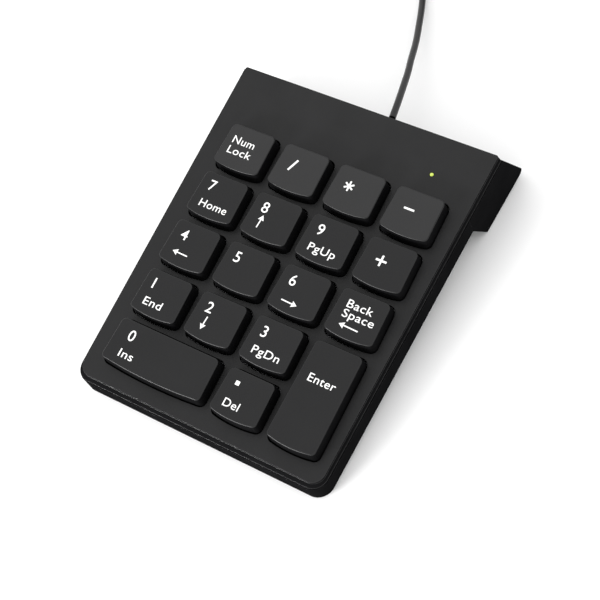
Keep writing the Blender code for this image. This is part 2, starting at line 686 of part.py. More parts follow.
def dome_cones(name, wall):
    """The domes' outer (wall 0) or inner form: a cone with a round head on it."""
    bm = bmesh.new()
    foot = (sum(RUBBER_Z) / 2) if wall == 0 else RUBBER_Z[0] - 1 * MM
    for at in KEY_CENTRES.values():
        add_cylinder(bm, at, 4.0 * MM - wall, foot, DOME_SHOULDER - wall, 12, 2.5 * MM - wall)
    return mesh_from(bm, name)


def make_rubber_domes(material):
    """The sheet of collapsing rubber domes that spring the keys back."""
    sheet = add_part("rubber_dome_sheet", prism("rubber_dome_sheet", layer_outline(), *RUBBER_Z),
                     material)
    boolean(sheet, "UNION", add_cutter("dome_outside", dome_cones("dome_outside", 0)))
    heads = [(at, 2.3 * MM, DOME_SHOULDER - 0.25 * MM, DOME_TOP) for at in KEY_CENTRES.values()]
    boolean(sheet, "UNION", add_cutter("dome_heads", cylinders("dome_heads", heads, 12)))
    boolean(sheet, "DIFFERENCE", add_cutter("dome_inside", dome_cones("dome_inside", 0.45 * MM)))
    boolean(sheet, "DIFFERENCE", screw_clearance("rubber_screw_holes", -8 * MM, -5 * MM))


def make_membrane(material):
    """The laminated contact membrane with the tail that runs back to the board."""
    left, right = -LAYER_HALF_WIDTH, LAYER_HALF_WIDTH
    front, rear = LAYER_Y
    tail = (-17 * MM, -5 * MM, 46.5 * MM)
    radius = 2 * MM
    corners = [(left, front, radius), (right, front, radius), (right, rear, radius),
               (tail[1], rear, 0), (tail[1], tail[2], 0), (tail[0], tail[2], 0),
               (tail[0], rear, 0), (left, rear, radius)]
    outline = fillet(corners, 2)
    membrane = add_part("contact_membrane", prism("contact_membrane", outline, *MEMBRANE_Z), material)
    boolean(membrane, "DIFFERENCE", screw_clearance("membrane_screw_holes", -8 * MM, -6 * MM))


def make_steel_plate(material):
    """The steel plate that backs the membrane."""
    plate = add_part("backing_plate", prism("backing_plate", layer_outline(), *STEEL_Z), material)
    boolean(plate, "DIFFERENCE", screw_clearance("steel_screw_holes", -9 * MM, -6.5 * MM))


# ---------------------------------------------------------------- the electronics

def make_board(board_material, chip_material, metal, resistor_material):
    """The controller board with the pieces soldered to it."""
    outline = rectangle(*BOARD_X, *BOARD_Y)
    board = add_part("controller_board", prism("controller_board", outline, *BOARD_Z), board_material)
    holes = [((x, CLAMP_Y), 1.2 * MM, -10 * MM, -6 * MM) for x in CLAMP_SCREW_X]
    boolean(board, "DIFFERENCE", add_cutter("board_holes", cylinders("board_holes", holes, 12)))
    seat = BOARD_Z[1] + GAP
    add_part("controller_chip", box("controller_chip", (12.9 * MM, 40.6 * MM, seat),
                                    (23.1 * MM, 45.6 * MM, seat + 1.6 * MM)), chip_material)
    add_part("clock_crystal", box("clock_crystal", (14 * MM, 45.9 * MM, seat),
                                  (22 * MM, 48.2 * MM, seat + 2.4 * MM)), metal)
    add_part("smoothing_capacitor", cylinders("smoothing_capacitor", [
        ((26.6 * MM, 46.8 * MM), 2.0 * MM, seat, seat + 4.6 * MM)]), chip_material)
    resistor = cylinders("led_resistor", [((0, 0), 0.7 * MM, -2 * MM, 2 * MM)], 10)
    resistor.transform(Matrix.Translation((18 * MM, 39.6 * MM, seat + 0.7 * MM))
                       @ Matrix.Rotation(pi / 2, 4, "Y"))
    add_part("led_resistor", resistor, resistor_material)


def make_indicator(led_material, lens_material):
    """The light-emitting diode and the light pipe that carries it to the plate's face."""
    seat = BOARD_Z[1] + GAP
    led = turned("status_led", [(0, -3.4 * MM), (0.8 * MM, -3.55 * MM), (1.5 * MM, -4.4 * MM),
                                (1.5 * MM, seat + 1 * MM), (1.9 * MM, seat + 1 * MM),
                                (1.9 * MM, seat), (0, seat)], led_material)
    led.location = (*LED_XY, 0)
    pipe = turned("led_light_pipe", [(0, 0), (LENS_RADIUS, 0), (LENS_RADIUS, -1.9 * MM),
                                     (1.9 * MM, -1.9 * MM), (1.9 * MM, -3.1 * MM),
                                     (0, -3.1 * MM)], lens_material)
    pipe.location = (*LED_XY, 0)


def make_screw(name, at, head, neck, tip, head_radius, shank_radius, material, upward):
    """A pan-head screw: neck is where its head meets its shank."""
    bm = bmesh.new()
    add_cylinder(bm, (0, 0), head_radius, min(head, neck), max(head, neck), 12)
    screw = add_part(name, mesh_from(bm, name), material, location=(*at, 0))
    low, high = (neck - 0.2 * MM, tip) if upward else (tip, neck + 0.2 * MM)
    shank = cylinders(f"{name}_shank", [((0, 0), shank_radius, low, high)], 8)
    boolean(screw, "UNION", add_cutter(f"{name}_shank", shank, location=(*at, 0)))
    slots = [((-0.9 * MM, -0.2 * MM), (0.9 * MM, 0.2 * MM)), ((-0.2 * MM, -0.9 * MM), (0.2 * MM, 0.9 * MM))]
    depth = 0.4 * MM
    for index, (low_xy, high_xy) in enumerate(slots):
        bottom, top = (head - depth, head + depth)
        cutter = box(f"{name}_slot_{index}", (*low_xy, bottom), (*high_xy, top))
        boolean(screw, "DIFFERENCE", add_cutter(f"{name}_slot_{index}", cutter, location=(*at, 0)))


def make_clamp(bar_material, steel):
    """The bar that presses the membrane's tail on the board, with its two screws."""
    first, last = CLAMP_SCREW_X
    reach = 2.8 * MM
    outline = rectangle(first - reach, last + reach, CLAMP_Y - 2.3 * MM, CLAMP_Y + 2.3 * MM, 1 * MM)
    bar = add_part("membrane_clamp_bar", prism("membrane_clamp_bar", outline, -5.8 * MM, -4.3 * MM),
                   bar_material)
    holes = [((x, CLAMP_Y), 1.2 * MM, -8 * MM, -4 * MM) for x in CLAMP_SCREW_X]
    boolean(bar, "DIFFERENCE", add_cutter("clamp_holes", cylinders("clamp_holes", holes, 12)))
    for label, x in zip(("left", "right"), CLAMP_SCREW_X):
        make_screw(f"clamp_screw_{label}", (x, CLAMP_Y), -2.9 * MM, -4.0 * MM, -13 * MM,
                   1.7 * MM, 0.9 * MM, steel, False)


def make_fasteners(steel):
    """The case's four screws, from below, and the guide frame's four, from above."""
    for label, at in zip(("left", "right"), FRONT_SCREWS):
        make_screw(f"case_screw_front_{label}", at, -8.5 * MM, -7.7 * MM, -2.6 * MM,
                   1.6 * MM, 0.9 * MM, steel, True)
    for label, at in zip(("left", "right"), REAR_SCREWS):
        make_screw(f"case_screw_rear_{label}", at, -10.2 * MM, -8.9 * MM, -3.4 * MM,
                   1.9 * MM, 0.9 * MM, steel, True)
    for number, at in enumerate(frame_screw_places(), 1):
        make_screw(f"frame_screw_{number}", at, -3.3 * MM, -4.0 * MM, -7.2 * MM,
                   1.5 * MM, 0.8 * MM, steel, False)


# ---------------------------------------------------------------- feet

def make_pads(material):
    """Four rubber feet whose undersides lie flat on the table."""
    floor = add_cutter("table", box("table", (-0.2, -0.2, -0.05), (0.2, 0.2, 0)), parent=None)
    foot_low, foot_high = Vector(FOOT_REAR_BOTTOM), Vector(FOOT_FRONT_BOTTOM)
    lean = atan2(foot_low.y - foot_high.y, foot_low.x - foot_high.x)
    along = (REAR_PAD_XY[1] - foot_high.x) / (foot_low.x - foot_high.x)
    rear_top = foot_high.y + (foot_low.y - foot_high.y) * along - GAP
    for row, (x, y), top, slope in (("front", FRONT_PAD_XY, -CASE_DEPTH - GAP, 0.0),
                                    ("rear", REAR_PAD_XY, rear_top, lean)):
        for side, sign in (("left", -1), ("right", 1)):
            name = f"{row}_{side}_pad"
            mesh = cylinders(name, [((0, 0), PAD_RADIUS, -4 * MM, 0)], 20)
            mesh.transform(Matrix.Rotation(slope, 4, "X"))
            pad = add_part(name, mesh, material, location=(sign * x, y, top))
            boolean(pad, "DIFFERENCE", floor)


# ---------------------------------------------------------------- the lead

def make_strain_relief(material, lead_material):
    """The bush that grips the lead in the sloping rear wall, and the lead's inner end."""
    profile = [(0, 6 * MM), (2.3 * MM, 6 * MM), (2.3 * MM, -3.8 * MM), (2.9 * MM, -3.8 * MM),
               (2.9 * MM, -4.9 * MM), (0, -4.9 * MM)]
    bush = turned("strain_relief_bush", profile, material)
    bush.location = (EXIT_X, rear_face_y(EXIT_Z), EXIT_Z)
    bush.rotation_euler = (-pi / 2, 0, 0)
    top_rear, low_rear = foot_section()[:2]
    slope = atan2(low_rear.x - top_rear.x, top_rear.y - low_rear.y)
    trim = box("bush_trim", (-8 * MM, 0, -12 * MM), (8 * MM, 9 * MM, 12 * MM))
    trim.transform(Matrix.Rotation(slope, 4, "X"))
    at = (EXIT_X, rear_face_y(EXIT_Z), EXIT_Z)
    boolean(bush, "DIFFERENCE", add_cutter("bush_trim", trim, location=at))
    seat = BOARD_Z[1] + GAP
    header = box("lead_header", (0.9 * MM + GAP, 43.0 * MM, seat), (11 * MM, 47.4 * MM, seat + 4 * MM))
    add_part("lead_header", header, material)
    inner = [(EXIT_X, rear_face_y(EXIT_Z) - 5.9 * MM, EXIT_Z), (EXIT_X, 49.9 * MM, -6.1 * MM),
             (EXIT_X, 48.9 * MM, -4.9 * MM), (EXIT_X, 47.8 * MM, -4.5 * MM)]
    tube("lead_inner_end", inner, CORD_RADIUS, lead_material, "panel")


def make_cord(material, tie_material):
    """The lead's free stretches, its stored coil and the tie round the coil."""
    route = [Vector(p) * MM for p in CORD_ROUTE]
    tube("usb_cord", smooth_path(route, CORD_POINT_SPACING), CORD_RADIUS, material)
    end = [Vector(p) * MM for p in CORD_END_ROUTE]
    tube("usb_cord_end", smooth_path(end, 2 * CORD_RADIUS), CORD_RADIUS, material)
    half = COIL_SIDE / 2
    corner = 1.6 * MM
    section = rectangle(COIL_MEAN_RADIUS - half, COIL_MEAN_RADIUS + half, COIL_BOTTOM,
                        COIL_BOTTOM + COIL_SIDE, corner, 2)
    profile = [(p.x, p.y) for p in reversed(section)]
    coil = turned("cord_coil", profile, material, parent=None, steps=28, ring=True)
    coil.location = (*COIL_CENTRE, 0)
    tie_half = half + GAP
    thick = 0.5 * MM
    slack = 0.4 * MM                # the ring's curve needs it inside the band
    outer = rectangle(COIL_MEAN_RADIUS - tie_half - slack - thick, COIL_MEAN_RADIUS + tie_half + thick,
                      COIL_BOTTOM - GAP - thick, COIL_BOTTOM + COIL_SIDE + GAP + thick, corner, 2)
    inner = rectangle(COIL_MEAN_RADIUS - tie_half - slack, COIL_MEAN_RADIUS + tie_half,
                      COIL_BOTTOM - GAP, COIL_BOTTOM + COIL_SIDE + GAP, corner, 2)
    stand = Matrix.Translation((*COIL_CENTRE, 0)) @ Matrix.Rotation(radians(100), 4, "Z") \
        @ Matrix.Rotation(pi / 2, 4, "X")
    band = prism("cord_tie", outer, -2.0 * MM, 2.0 * MM)
    band.transform(stand)
    tie = add_part("cord_tie", band, tie_material, parent=None)
    hollow = prism("tie_hollow", inner, -4 * MM, 4 * MM)
    hollow.transform(stand)
    boolean(tie, "DIFFERENCE", add_cutter("tie_hollow", hollow, parent=None))


def make_plug(rubber, metal, insulator):
    """The USB plug: overmould with its tapered tail, metal shell and tongue."""
    tail, body, shell = 5 * MM, 19 * MM, 11.8 * MM
    profile = [(0, tail + 1 * MM), (3.1 * MM, tail + 1 * MM), (3.1 * MM, tail), (1.9 * MM, 0), (0, 0)]
    overmould = turned("plug_overmould", profile, rubber, parent="plug", steps=12)
    overmould.rotation_euler = (0, pi / 2, 0)
    block = box("plug_block", (tail, -7.6 * MM, -3.7 * MM), (tail + body, 7.6 * MM, 3.7 * MM))
    block_cutter = add_cutter("plug_block", block, parent="plug")
    bevel = block_cutter.modifiers.new("round", "BEVEL")
    bevel.width = 1.6 * MM
    bevel.segments = 2
    boolean(overmould, "UNION", block_cutter)
    start = tail + body + GAP
    sleeve = add_part("plug_shell", box("plug_shell", (start, -6 * MM, -2.25 * MM),
                                        (start + shell, 6 * MM, 2.25 * MM)), metal, parent="plug")
    inside = box("shell_inside", (start - 1 * MM, -5.65 * MM, -1.9 * MM),
                 (start + shell + 1 * MM, 5.65 * MM, 1.9 * MM))
    boolean(sleeve, "DIFFERENCE", add_cutter("shell_inside", inside, parent="plug"))
    add_part("plug_tongue", box("plug_tongue", (start, -5.3 * MM, 0.05 * MM),
                                (start + shell - 1 * MM, 5.3 * MM, 1.55 * MM)), insulator,
             parent="plug")


# ---------------------------------------------------------------- putting it together

def clear_scene():
    """Start from nothing."""
    for obj in list(bpy.data.objects):
        bpy.data.objects.remove(obj)
    for collection in list(bpy.data.collections):
        bpy.data.collections.remove(collection)


def new_collection(name):
    collection = bpy.data.collections.new(name)
    bpy.context.scene.collection.children.link(collection)
    return collection


def place_plug():
    """The empty that carries the plug, lying flat beside the coil."""
    empty = bpy.data.objects.new("plug_axes", None)
    PARTS.objects.link(empty)
    empty.location = PLUG_AT
    empty.rotation_euler = (0, 0, PLUG_HEADING)
    return empty


clear_scene()
PARTS = new_collection("numeric_keypad")
CUTTERS = new_collection("cutters")
AXES = {"panel": place_panel(), "plug": place_plug()}

satin_black = make_material("satin_black_plastic", DARK_GREY, 0.42)
matt_black = make_material("matt_black_plastic", BLACK, 0.55)
key_black = make_material("key_black_plastic", DARK_GREY, 0.5)
grey_plastic = make_material("grey_plastic", (0.25, 0.25, 0.26), 0.5)
silicone = make_material("translucent_silicone", (0.55, 0.57, 0.58), 0.6)
film = make_material("polyester_film", (0.6, 0.62, 0.6), 0.3)
steel = make_material("zinc_steel", (0.55, 0.55, 0.56), 0.35, 1.0)
green_board = make_material("green_board", (0.02, 0.16, 0.06), 0.45)
chip_black = make_material("chip_black", (0.015, 0.015, 0.016), 0.5)
resistor_tan = make_material("resistor_tan", (0.5, 0.35, 0.18), 0.6)
led_green = make_material("led_green", (0.45, 0.75, 0.12), 0.3, emission=0.5)
foot_rubber = make_material("foot_rubber", (0.02, 0.02, 0.02), 0.85)
cord_black = make_material("cord_black", (0.018, 0.018, 0.019), 0.45)
tie_black = make_material("tie_black", (0.02, 0.02, 0.02), 0.7)

make_top_cover(satin_black)
make_bottom_case(matt_black)
make_keys(key_black)
make_stabiliser("stabiliser_wire_0", "key_0", steel)
make_stabiliser("stabiliser_wire_enter", "key_enter", steel)
make_guide_frame(grey_plastic)
make_rubber_domes(silicone)
make_membrane(film)
make_steel_plate(steel)
make_board(green_board, chip_black, steel, resistor_tan)
make_indicator(led_green, led_green)
make_clamp(grey_plastic, steel)
make_fasteners(steel)
make_pads(foot_rubber)
make_strain_relief(cord_black, cord_black)
make_cord(cord_black, tie_black)
make_plug(cord_black, steel, grey_plastic)
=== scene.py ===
"""A numeric keypad on a pale table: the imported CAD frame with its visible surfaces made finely."""

import json
from math import atan2, ceil, cos, pi, radians, sin, tan

import bmesh
import bpy
from mathutils import Matrix, Vector


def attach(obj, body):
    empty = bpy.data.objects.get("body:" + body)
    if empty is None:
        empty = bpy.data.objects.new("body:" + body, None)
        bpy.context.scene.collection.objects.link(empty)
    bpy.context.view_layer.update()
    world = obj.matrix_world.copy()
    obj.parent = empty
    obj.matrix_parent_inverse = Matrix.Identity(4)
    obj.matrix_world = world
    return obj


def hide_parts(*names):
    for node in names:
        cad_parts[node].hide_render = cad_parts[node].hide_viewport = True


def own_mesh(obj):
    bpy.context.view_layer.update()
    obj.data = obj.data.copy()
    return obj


MM = 0.001

# ------------------------ the CAD's own dimensions
# The panel's axes: the plate's face is at z = 0 in them, and they lean back by the tilt.
TILT = radians(6.7)
PANEL_ORIGIN = (0.0, -4.787 * MM, 15.626 * MM)
PANEL = Matrix.Translation(PANEL_ORIGIN) @ Matrix.Rotation(TILT, 4, "X")

GAP = 0.3 * MM
CASE_FRONT_WIDTH = 85.2 * MM
CASE_REAR_WIDTH = 89.2 * MM
CASE_FRONT_Y = -54.1 * MM
CASE_REAR_Y = 54.4 * MM
CASE_DEPTH = 8.8 * MM
FRONT_RADIUS = 5.0 * MM
REAR_RADIUS = 1.6 * MM
PLATE_THICKNESS = 1.4 * MM
BEVEL_DROP = 1.2 * MM
BEVEL_SIDE = 0.95 * MM
BEVEL_FRONT = 0.85 * MM
LEDGE = 0.3 * MM
REAR_OVERHANG = 0.2 * MM
RIM_Z = -PLATE_THICKNESS - GAP
WALL = 1.8 * MM
FLOOR = 1.3 * MM
UNDERSIDE_CHAMFER = 0.7 * MM
FRONT_LEAN = 1.1 * MM
FOOT_REAR_BOTTOM = (62.0 * MM, -21.2 * MM)
FOOT_FRONT_BOTTOM = (38.9 * MM, -19.9 * MM)
FOOT_FRONT_TOP = (33.5 * MM, -8.2 * MM)
FOOT_EDGE_RADIUS = 1.5 * MM

PITCH_X = 19.05 * MM
PITCH_Y = 17.0 * MM
FIELD_X = 1.1 * MM
ROW_0_Y = 28.1 * MM
KEY_RISE = 3.8 * MM
KEY_REAR_WIDTH = 14.9 * MM
KEY_FRONT_WIDTH = 15.6 * MM
KEY_DEPTH = 13.2 * MM
KEY_SMILE = 0.9 * MM
KEY_FRONT_RADIUS = 1.3 * MM
KEY_REAR_RADIUS = 1.6 * MM
KEY_FLARE = 0.41 * MM
KEY_SKIRT_Z = -1.2 * MM
KEY_WALL = 1.2 * MM
KEY_ROOF = 1.3 * MM
OPENING_GAP = 0.4 * MM
STEM_RADIUS = 2.0 * MM
STEM_BOTTOM = -2.3 * MM
WIRE_BAR_OFFSET = 4.2 * MM
WIRE_BAR_Z = -0.1 * MM

LAYER_HALF_WIDTH = 39.0 * MM
LAYER_Y = (-46.0 * MM, 36.0 * MM)
RUBBER_Z = (-5.8 * MM, -5.4 * MM)
FRAME_SCREW_CELLS = [(0.5, 0.5), (2.5, 0.5), (0.5, 2.5), (2.5, 2.5)]

LED_XY = (27.9 * MM, 42.3 * MM)
LENS_END_RADIUS = 0.56             # in millimetres; finer than the CAD's plain pipe
FRONT_SCREWS = [(-38.3 * MM, -49.7 * MM), (38.3 * MM, -49.7 * MM)]
REAR_SCREWS = [(-36.5 * MM, 45.5 * MM), (36.5 * MM, 45.5 * MM)]
CLAMP_SCREWS = [(-20.0 * MM, 43.7 * MM), (-2.0 * MM, 43.7 * MM)]
LABEL_HALF_WIDTH = 21 * MM
LABEL_Y = (-12 * MM, 16 * MM)
LABEL_DEPTH = 0.25 * MM
PAD_RADIUS = 5 * MM
FRONT_PAD_XY = (30.0 * MM, -44.5 * MM)
REAR_PAD_XY = (30.0 * MM, 51.0 * MM)

RIM_STEP = 0.6 * MM                # how far the front rim stands out past the CAD's plain wall

CORD_RADIUS = 1.1 * MM
EXIT_X = 5.3 * MM
EXIT_Z = -7.0 * MM
CORD_ROUTE = [
    (5.3, 53.2, 15.4), (4.0, 58.9, 14.9), (1.7, 66.6, 13.1), (-0.2, 72.4, 11.5),
    (-2.3, 77.8, 9.9), (-5.4, 86.2, 7.3), (-9.3, 95.3, 4.9), (-12.7, 102.9, 3.1),
    (-15.9, 109.3, 2.0), (-19.3, 116.3, 1.4), (-22.6, 123.2, 1.15), (-25.6, 129.6, 1.15),
]
CORD_END_ROUTE = [(-4.5, 153.2, 2.0), (0.6, 152.9, 2.2), (4.8, 151.9, 3.1), (8.9, 151.12, 3.93)]
COIL_CENTRE = (-8.7, 136.6)
COIL_MEAN_RADIUS = 12.5
COIL_BOTTOM = 0.85
PLUG_AT = (9.0 * MM, 151.1 * MM, 3.95 * MM)
PLUG_HEADING = radians(-6.0)
GROOVES_X = [12.2, 13.8, 15.4, 17.0, 18.6]      # along the plug, in millimetres
SLEEVE_X = (24.1, 36.1)

# ------------------------ the keys and their legends
KEY_ROWS = [("num_lock", "divide", "multiply", "minus"), ("7", "8", "9", "plus"),
            ("4", "5", "6", "backspace"), ("1", "2", "3", "enter"), ("0", None, "decimal")]
WIDE_KEYS = {"enter": (1, 2), "0": (2, 1)}
# Name, column, row, columns covered and rows covered.
KEYS = [(name, column, row, *WIDE_KEYS.get(name, (1, 1)))
        for row, names in enumerate(KEY_ROWS) for column, name in enumerate(names) if name]
DIGIT_CAP = 3.3 * MM               # height of a capital letter or a digit
WORD_CAP = 2.42 * MM
DIGIT_Y = 2.35 * MM
WORD_Y = -3.4 * MM
LEFT = -4.45 * MM                  # where most lines of lettering start


def digit(text, middle=DIGIT_Y, left=LEFT):
    return ("text", text, DIGIT_CAP, left, middle)


def word(text, middle=WORD_Y, left=LEFT):
    return ("text", text, WORD_CAP, left, middle)


# Each mark is ("text", words, cap height, left end, middle height) in metres, or ("arrow", from, to)
# or ("bars", [(from, to), ...], width) in millimetres, in the key's own axes.
LEGENDS = {
    "num_lock": [word("Num", 1.75 * MM, -5.1 * MM), word("Lock", -1.75 * MM, -5.1 * MM)],
    "divide": [("bars", [((-3.15, -1.35), (-1.55, 2.5))], 0.62)],
    "multiply": [("bars", [((-2.23, -0.95), (-2.23, 2.3)), ((-3.62, -0.12), (-0.84, 1.48)),
                           ((-3.62, 1.48), (-0.84, -0.12))], 0.52)],
    "minus": [("bars", [((-3.1, 0.65), (0.2, 0.65))], 0.6)],
    "plus": [("bars", [((-3.25, 0.4), (0.15, 0.4)), ((-1.55, -1.3), (-1.55, 2.1))], 0.62)],
    "7": [digit("7", 2.6 * MM), word("Home")],
    "8": [digit("8"), ("arrow", (-2.95, -4.3), (-2.75, -0.1))],
    "9": [digit("9"), word("PgUp")],
    "4": [digit("4"), ("arrow", (0.9, -3.5), (-4.3, -3.35))],
    "5": [digit("5")],
    "6": [digit("6"), ("arrow", (-3.9, -4.1), (1.3, -4.3))],
    "backspace": [word("Back", 2.5 * MM), word("Space", -0.5 * MM),
                  ("arrow", (2.2, -4.15), (-4.0, -3.95))],
    "1": [digit("1"), word("End")],
    "2": [digit("2"), ("arrow", (-2.6, -0.4), (-2.8, -4.6))],
    "3": [digit("3"), word("PgDn")],
    "enter": [word("Enter", 4.4 * MM)],
    "0": [digit("0", left=-12.5 * MM), word("Ins", left=-12.5 * MM)],
    "decimal": [("bars", [((-3.98, 2.79), (-2.68, 2.79))], 1.3), word("Del")],
}
LETTER_WEIGHT = 0.002              # how much each stroke is thickened, in parts of the cap height
WORD_WIDTH = {"Num": 7.5 * MM, "Lock": 8.1 * MM, "Home": 9.5 * MM, "PgUp": 8.9 * MM, "PgDn": 9.0 * MM,
              "End": 6.3 * MM, "Del": 5.1 * MM, "Ins": 4.9 * MM, "Back": 8.2 * MM, "Space": 10.0 * MM,
              "Enter": 8.7 * MM}
MARK_PROUD = 0.035 * MM
MARK_SUNK = 0.06 * MM
DISH = 0.14 * MM

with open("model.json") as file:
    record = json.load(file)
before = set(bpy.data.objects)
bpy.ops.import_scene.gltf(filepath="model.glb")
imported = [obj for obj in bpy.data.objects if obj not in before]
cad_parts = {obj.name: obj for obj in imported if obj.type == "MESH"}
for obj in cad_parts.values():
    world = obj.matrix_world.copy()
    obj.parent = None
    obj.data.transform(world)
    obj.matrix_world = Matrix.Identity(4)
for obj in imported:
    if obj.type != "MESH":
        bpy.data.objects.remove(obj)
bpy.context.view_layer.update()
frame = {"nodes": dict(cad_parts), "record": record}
nodes = frame["nodes"]


def linked(name, data):
    """A new object in the scene."""
    obj = bpy.data.objects.new(name, data)
    bpy.context.scene.collection.objects.link(obj)
    return obj


# ------------------------ the camera

def make_camera():
    """The camera: it looks down on the keypad from its front right."""
    data = bpy.data.cameras.new("camera")
    data.lens = 84.53
    data.sensor_width = 36
    data.clip_start = 0.01
    camera = linked("camera", data)
    turn = Matrix(((0.84486, -0.35958, 0.39612), (0.46596, 0.85838, -0.21461),
                   (-0.26285, 0.3659, 0.89276)))
    place = Matrix.Translation((169.65 * MM, -93.55 * MM, 359.15 * MM)) @ turn.to_4x4()
    camera.matrix_world = PANEL @ place
    bpy.context.scene.camera = camera


# ------------------------ materials

def node_tree(name):
    """A new material, its node tree and its Principled shader."""
    material = bpy.data.materials.new(name)
    material.use_nodes = True
    tree = material.node_tree
    return material, tree, tree.nodes["Principled BSDF"]


def set_inputs(node, values):
    for name, value in values.items():
        node.inputs[name].default_value = value


def noise(tree, scale, detail, roughness=0.55, stretch=None):
    """Noise in the piece's own coordinates: scale is features per metre."""
    coordinates = tree.nodes.new("ShaderNodeTexCoord")
    texture = tree.nodes.new("ShaderNodeTexNoise")
    set_inputs(texture, {"Scale": scale, "Detail": detail, "Roughness": roughness})
    source = coordinates.outputs["Object"]
    if stretch:
        mapping = tree.nodes.new("ShaderNodeMapping")
        mapping.inputs["Scale"].default_value = stretch
        tree.links.new(source, mapping.inputs["Vector"])
        source = mapping.outputs["Vector"]
    tree.links.new(source, texture.inputs["Vector"])
    return texture.outputs["Fac"]


def spread(tree, value, low, high, inside=(0.35, 0.65)):
    """Carry a value from inside one range to another range."""
    node = tree.nodes.new("ShaderNodeMapRange")
    set_inputs(node, {"From Min": inside[0], "From Max": inside[1], "To Min": low, "To Max": high})
    tree.links.new(value, node.inputs["Value"])
    return node.outputs["Result"]


def set_roughness(tree, shader, value, low, high):
    tree.links.new(spread(tree, value, low, high), shader.inputs["Roughness"])


def set_colour(tree, shader, value, first, second, inside=None):
    """Colour a shader between two colours by a value, taken inside a range if one is given."""
    if inside:
        value = spread(tree, value, 0, 1, inside)
    node = tree.nodes.new("ShaderNodeMix")
    node.data_type = "RGBA"
    node.inputs["A"].default_value = (*first, 1)
    node.inputs["B"].default_value = (*second, 1)
    tree.links.new(value, node.inputs["Factor"])
    tree.links.new(node.outputs["Result"], shader.inputs["Base Color"])


def add_bump(tree, shader, value, distance, strength, under=None):
    node = tree.nodes.new("ShaderNodeBump")
    set_inputs(node, {"Strength": strength, "Distance": distance})
    tree.links.new(value, node.inputs["Height"])
    if under:
        tree.links.new(under, node.inputs["Normal"])
    if shader:
        tree.links.new(node.outputs["Normal"], shader.inputs["Normal"])
    return node.outputs["Normal"]


def plastic(name, colour, roughness, specular, grain, bump, streaks=False):
    """Moulded plastic: spark-eroded grain, slight cloudiness and handled patches."""
    material, tree, shader = node_tree(name)
    darker, lighter = (tuple(c * share for c in colour) for share in (0.85, 1.15))
    set_colour(tree, shader, noise(tree, 90, 4), darker, lighter, (0.3, 0.7))
    patches = noise(tree, 45, 5, 0.6, (1, 0.35, 1) if streaks else None)
    set_roughness(tree, shader, patches, roughness - 0.05, roughness + 0.06)
    coarse = add_bump(tree, None, noise(tree, grain * 0.35, 2), bump * 1.6, 0.5)
    add_bump(tree, shader, noise(tree, grain, 2, 0.5), bump, 0.7, coarse)
    shader.inputs["Specular IOR Level"].default_value = specular
    return material


def ink(name):
    """The white of the pad-printed legends, with a faint painted glow."""
    material, tree, shader = node_tree(name)
    set_colour(tree, shader, noise(tree, 1400, 3), (0.7, 0.7, 0.69), (0.8, 0.8, 0.79), (0.25, 0.6))
    set_roughness(tree, shader, noise(tree, 3000, 2), 0.45, 0.6)
    add_bump(tree, shader, noise(tree, 5000, 2), 0.006 * MM, 0.5)
    # The emission is a painted glow: the ink gives no light of its own.
    set_inputs(shader, {"Emission Color": (1, 1, 1, 1), "Emission Strength": 0.06})
    return material


def rubber(name, colour, roughness, specular=0.3):
    material, tree, shader = node_tree(name)
    dusty = tuple(c * 1.6 + 0.004 for c in colour)
    set_colour(tree, shader, noise(tree, 400, 5, 0.65), colour, dusty, (0.35, 0.75))
    set_roughness(tree, shader, noise(tree, 250, 3), roughness - 0.07, roughness + 0.07)
    add_bump(tree, shader, noise(tree, 6000, 2), 0.02 * MM, 0.6)
    shader.inputs["Specular IOR Level"].default_value = specular
    return material


def metal(name, colour, roughness, stretch):
    """Drawn or plated metal with fine lines along one way."""
    material, tree, shader = node_tree(name)
    lines = noise(tree, 900, 4, 0.6, stretch)
    set_colour(tree, shader, lines, tuple(c * 0.86 for c in colour), colour)
    set_roughness(tree, shader, lines, roughness - 0.08, roughness + 0.1)
    add_bump(tree, shader, lines, 0.01 * MM, 0.5)
    shader.inputs["Metallic"].default_value = 1.0
    return material


def board_green():
    """Solder mask over copper tracks, as a faint pattern."""
    material, tree, shader = node_tree("board_green")
    coordinates = tree.nodes.new("ShaderNodeTexCoord")
    brick = tree.nodes.new("ShaderNodeTexBrick")
    set_inputs(brick, {"Scale": 260, "Mortar Size": 0.08, "Mortar": (0.03, 0.2, 0.07, 1),
                       "Color1": (0.012, 0.11, 0.04, 1), "Color2": (0.014, 0.13, 0.045, 1)})
    tree.links.new(coordinates.outputs["Object"], brick.inputs["Vector"])
    tree.links.new(brick.outputs["Color"], shader.inputs["Base Color"])
    set_roughness(tree, shader, noise(tree, 500, 3), 0.3, 0.42)
    add_bump(tree, shader, brick.outputs["Fac"], 0.03 * MM, 0.4)
    return material


def glowing_lens():
    """The light pipe's end: clear yellow-green plastic with the diode's light in it."""
    material, tree, shader = node_tree("glowing_lens")
    set_colour(tree, shader, noise(tree, 2500, 3), (0.34, 0.42, 0.05), (0.5, 0.56, 0.12), (0.3, 0.7))
    set_roughness(tree, shader, noise(tree, 1500, 2), 0.18, 0.3)
    add_bump(tree, shader, noise(tree, 4000, 2), 0.008 * MM, 0.4)
    set_inputs(shader, {"Emission Color": (0.72, 0.95, 0.12, 1), "Emission Strength": 0.25})
    return material


def milky(name, colour, roughness):
    """Translucent silicone or polyester film."""
    material, tree, shader = node_tree(name)
    set_colour(tree, shader, noise(tree, 160, 4), tuple(c * 0.9 for c in colour), colour, (0.3, 0.7))
    set_roughness(tree, shader, noise(tree, 300, 3), roughness - 0.05, roughness + 0.05)
    add_bump(tree, shader, noise(tree, 3000, 2), 0.01 * MM, 0.4)
    return material


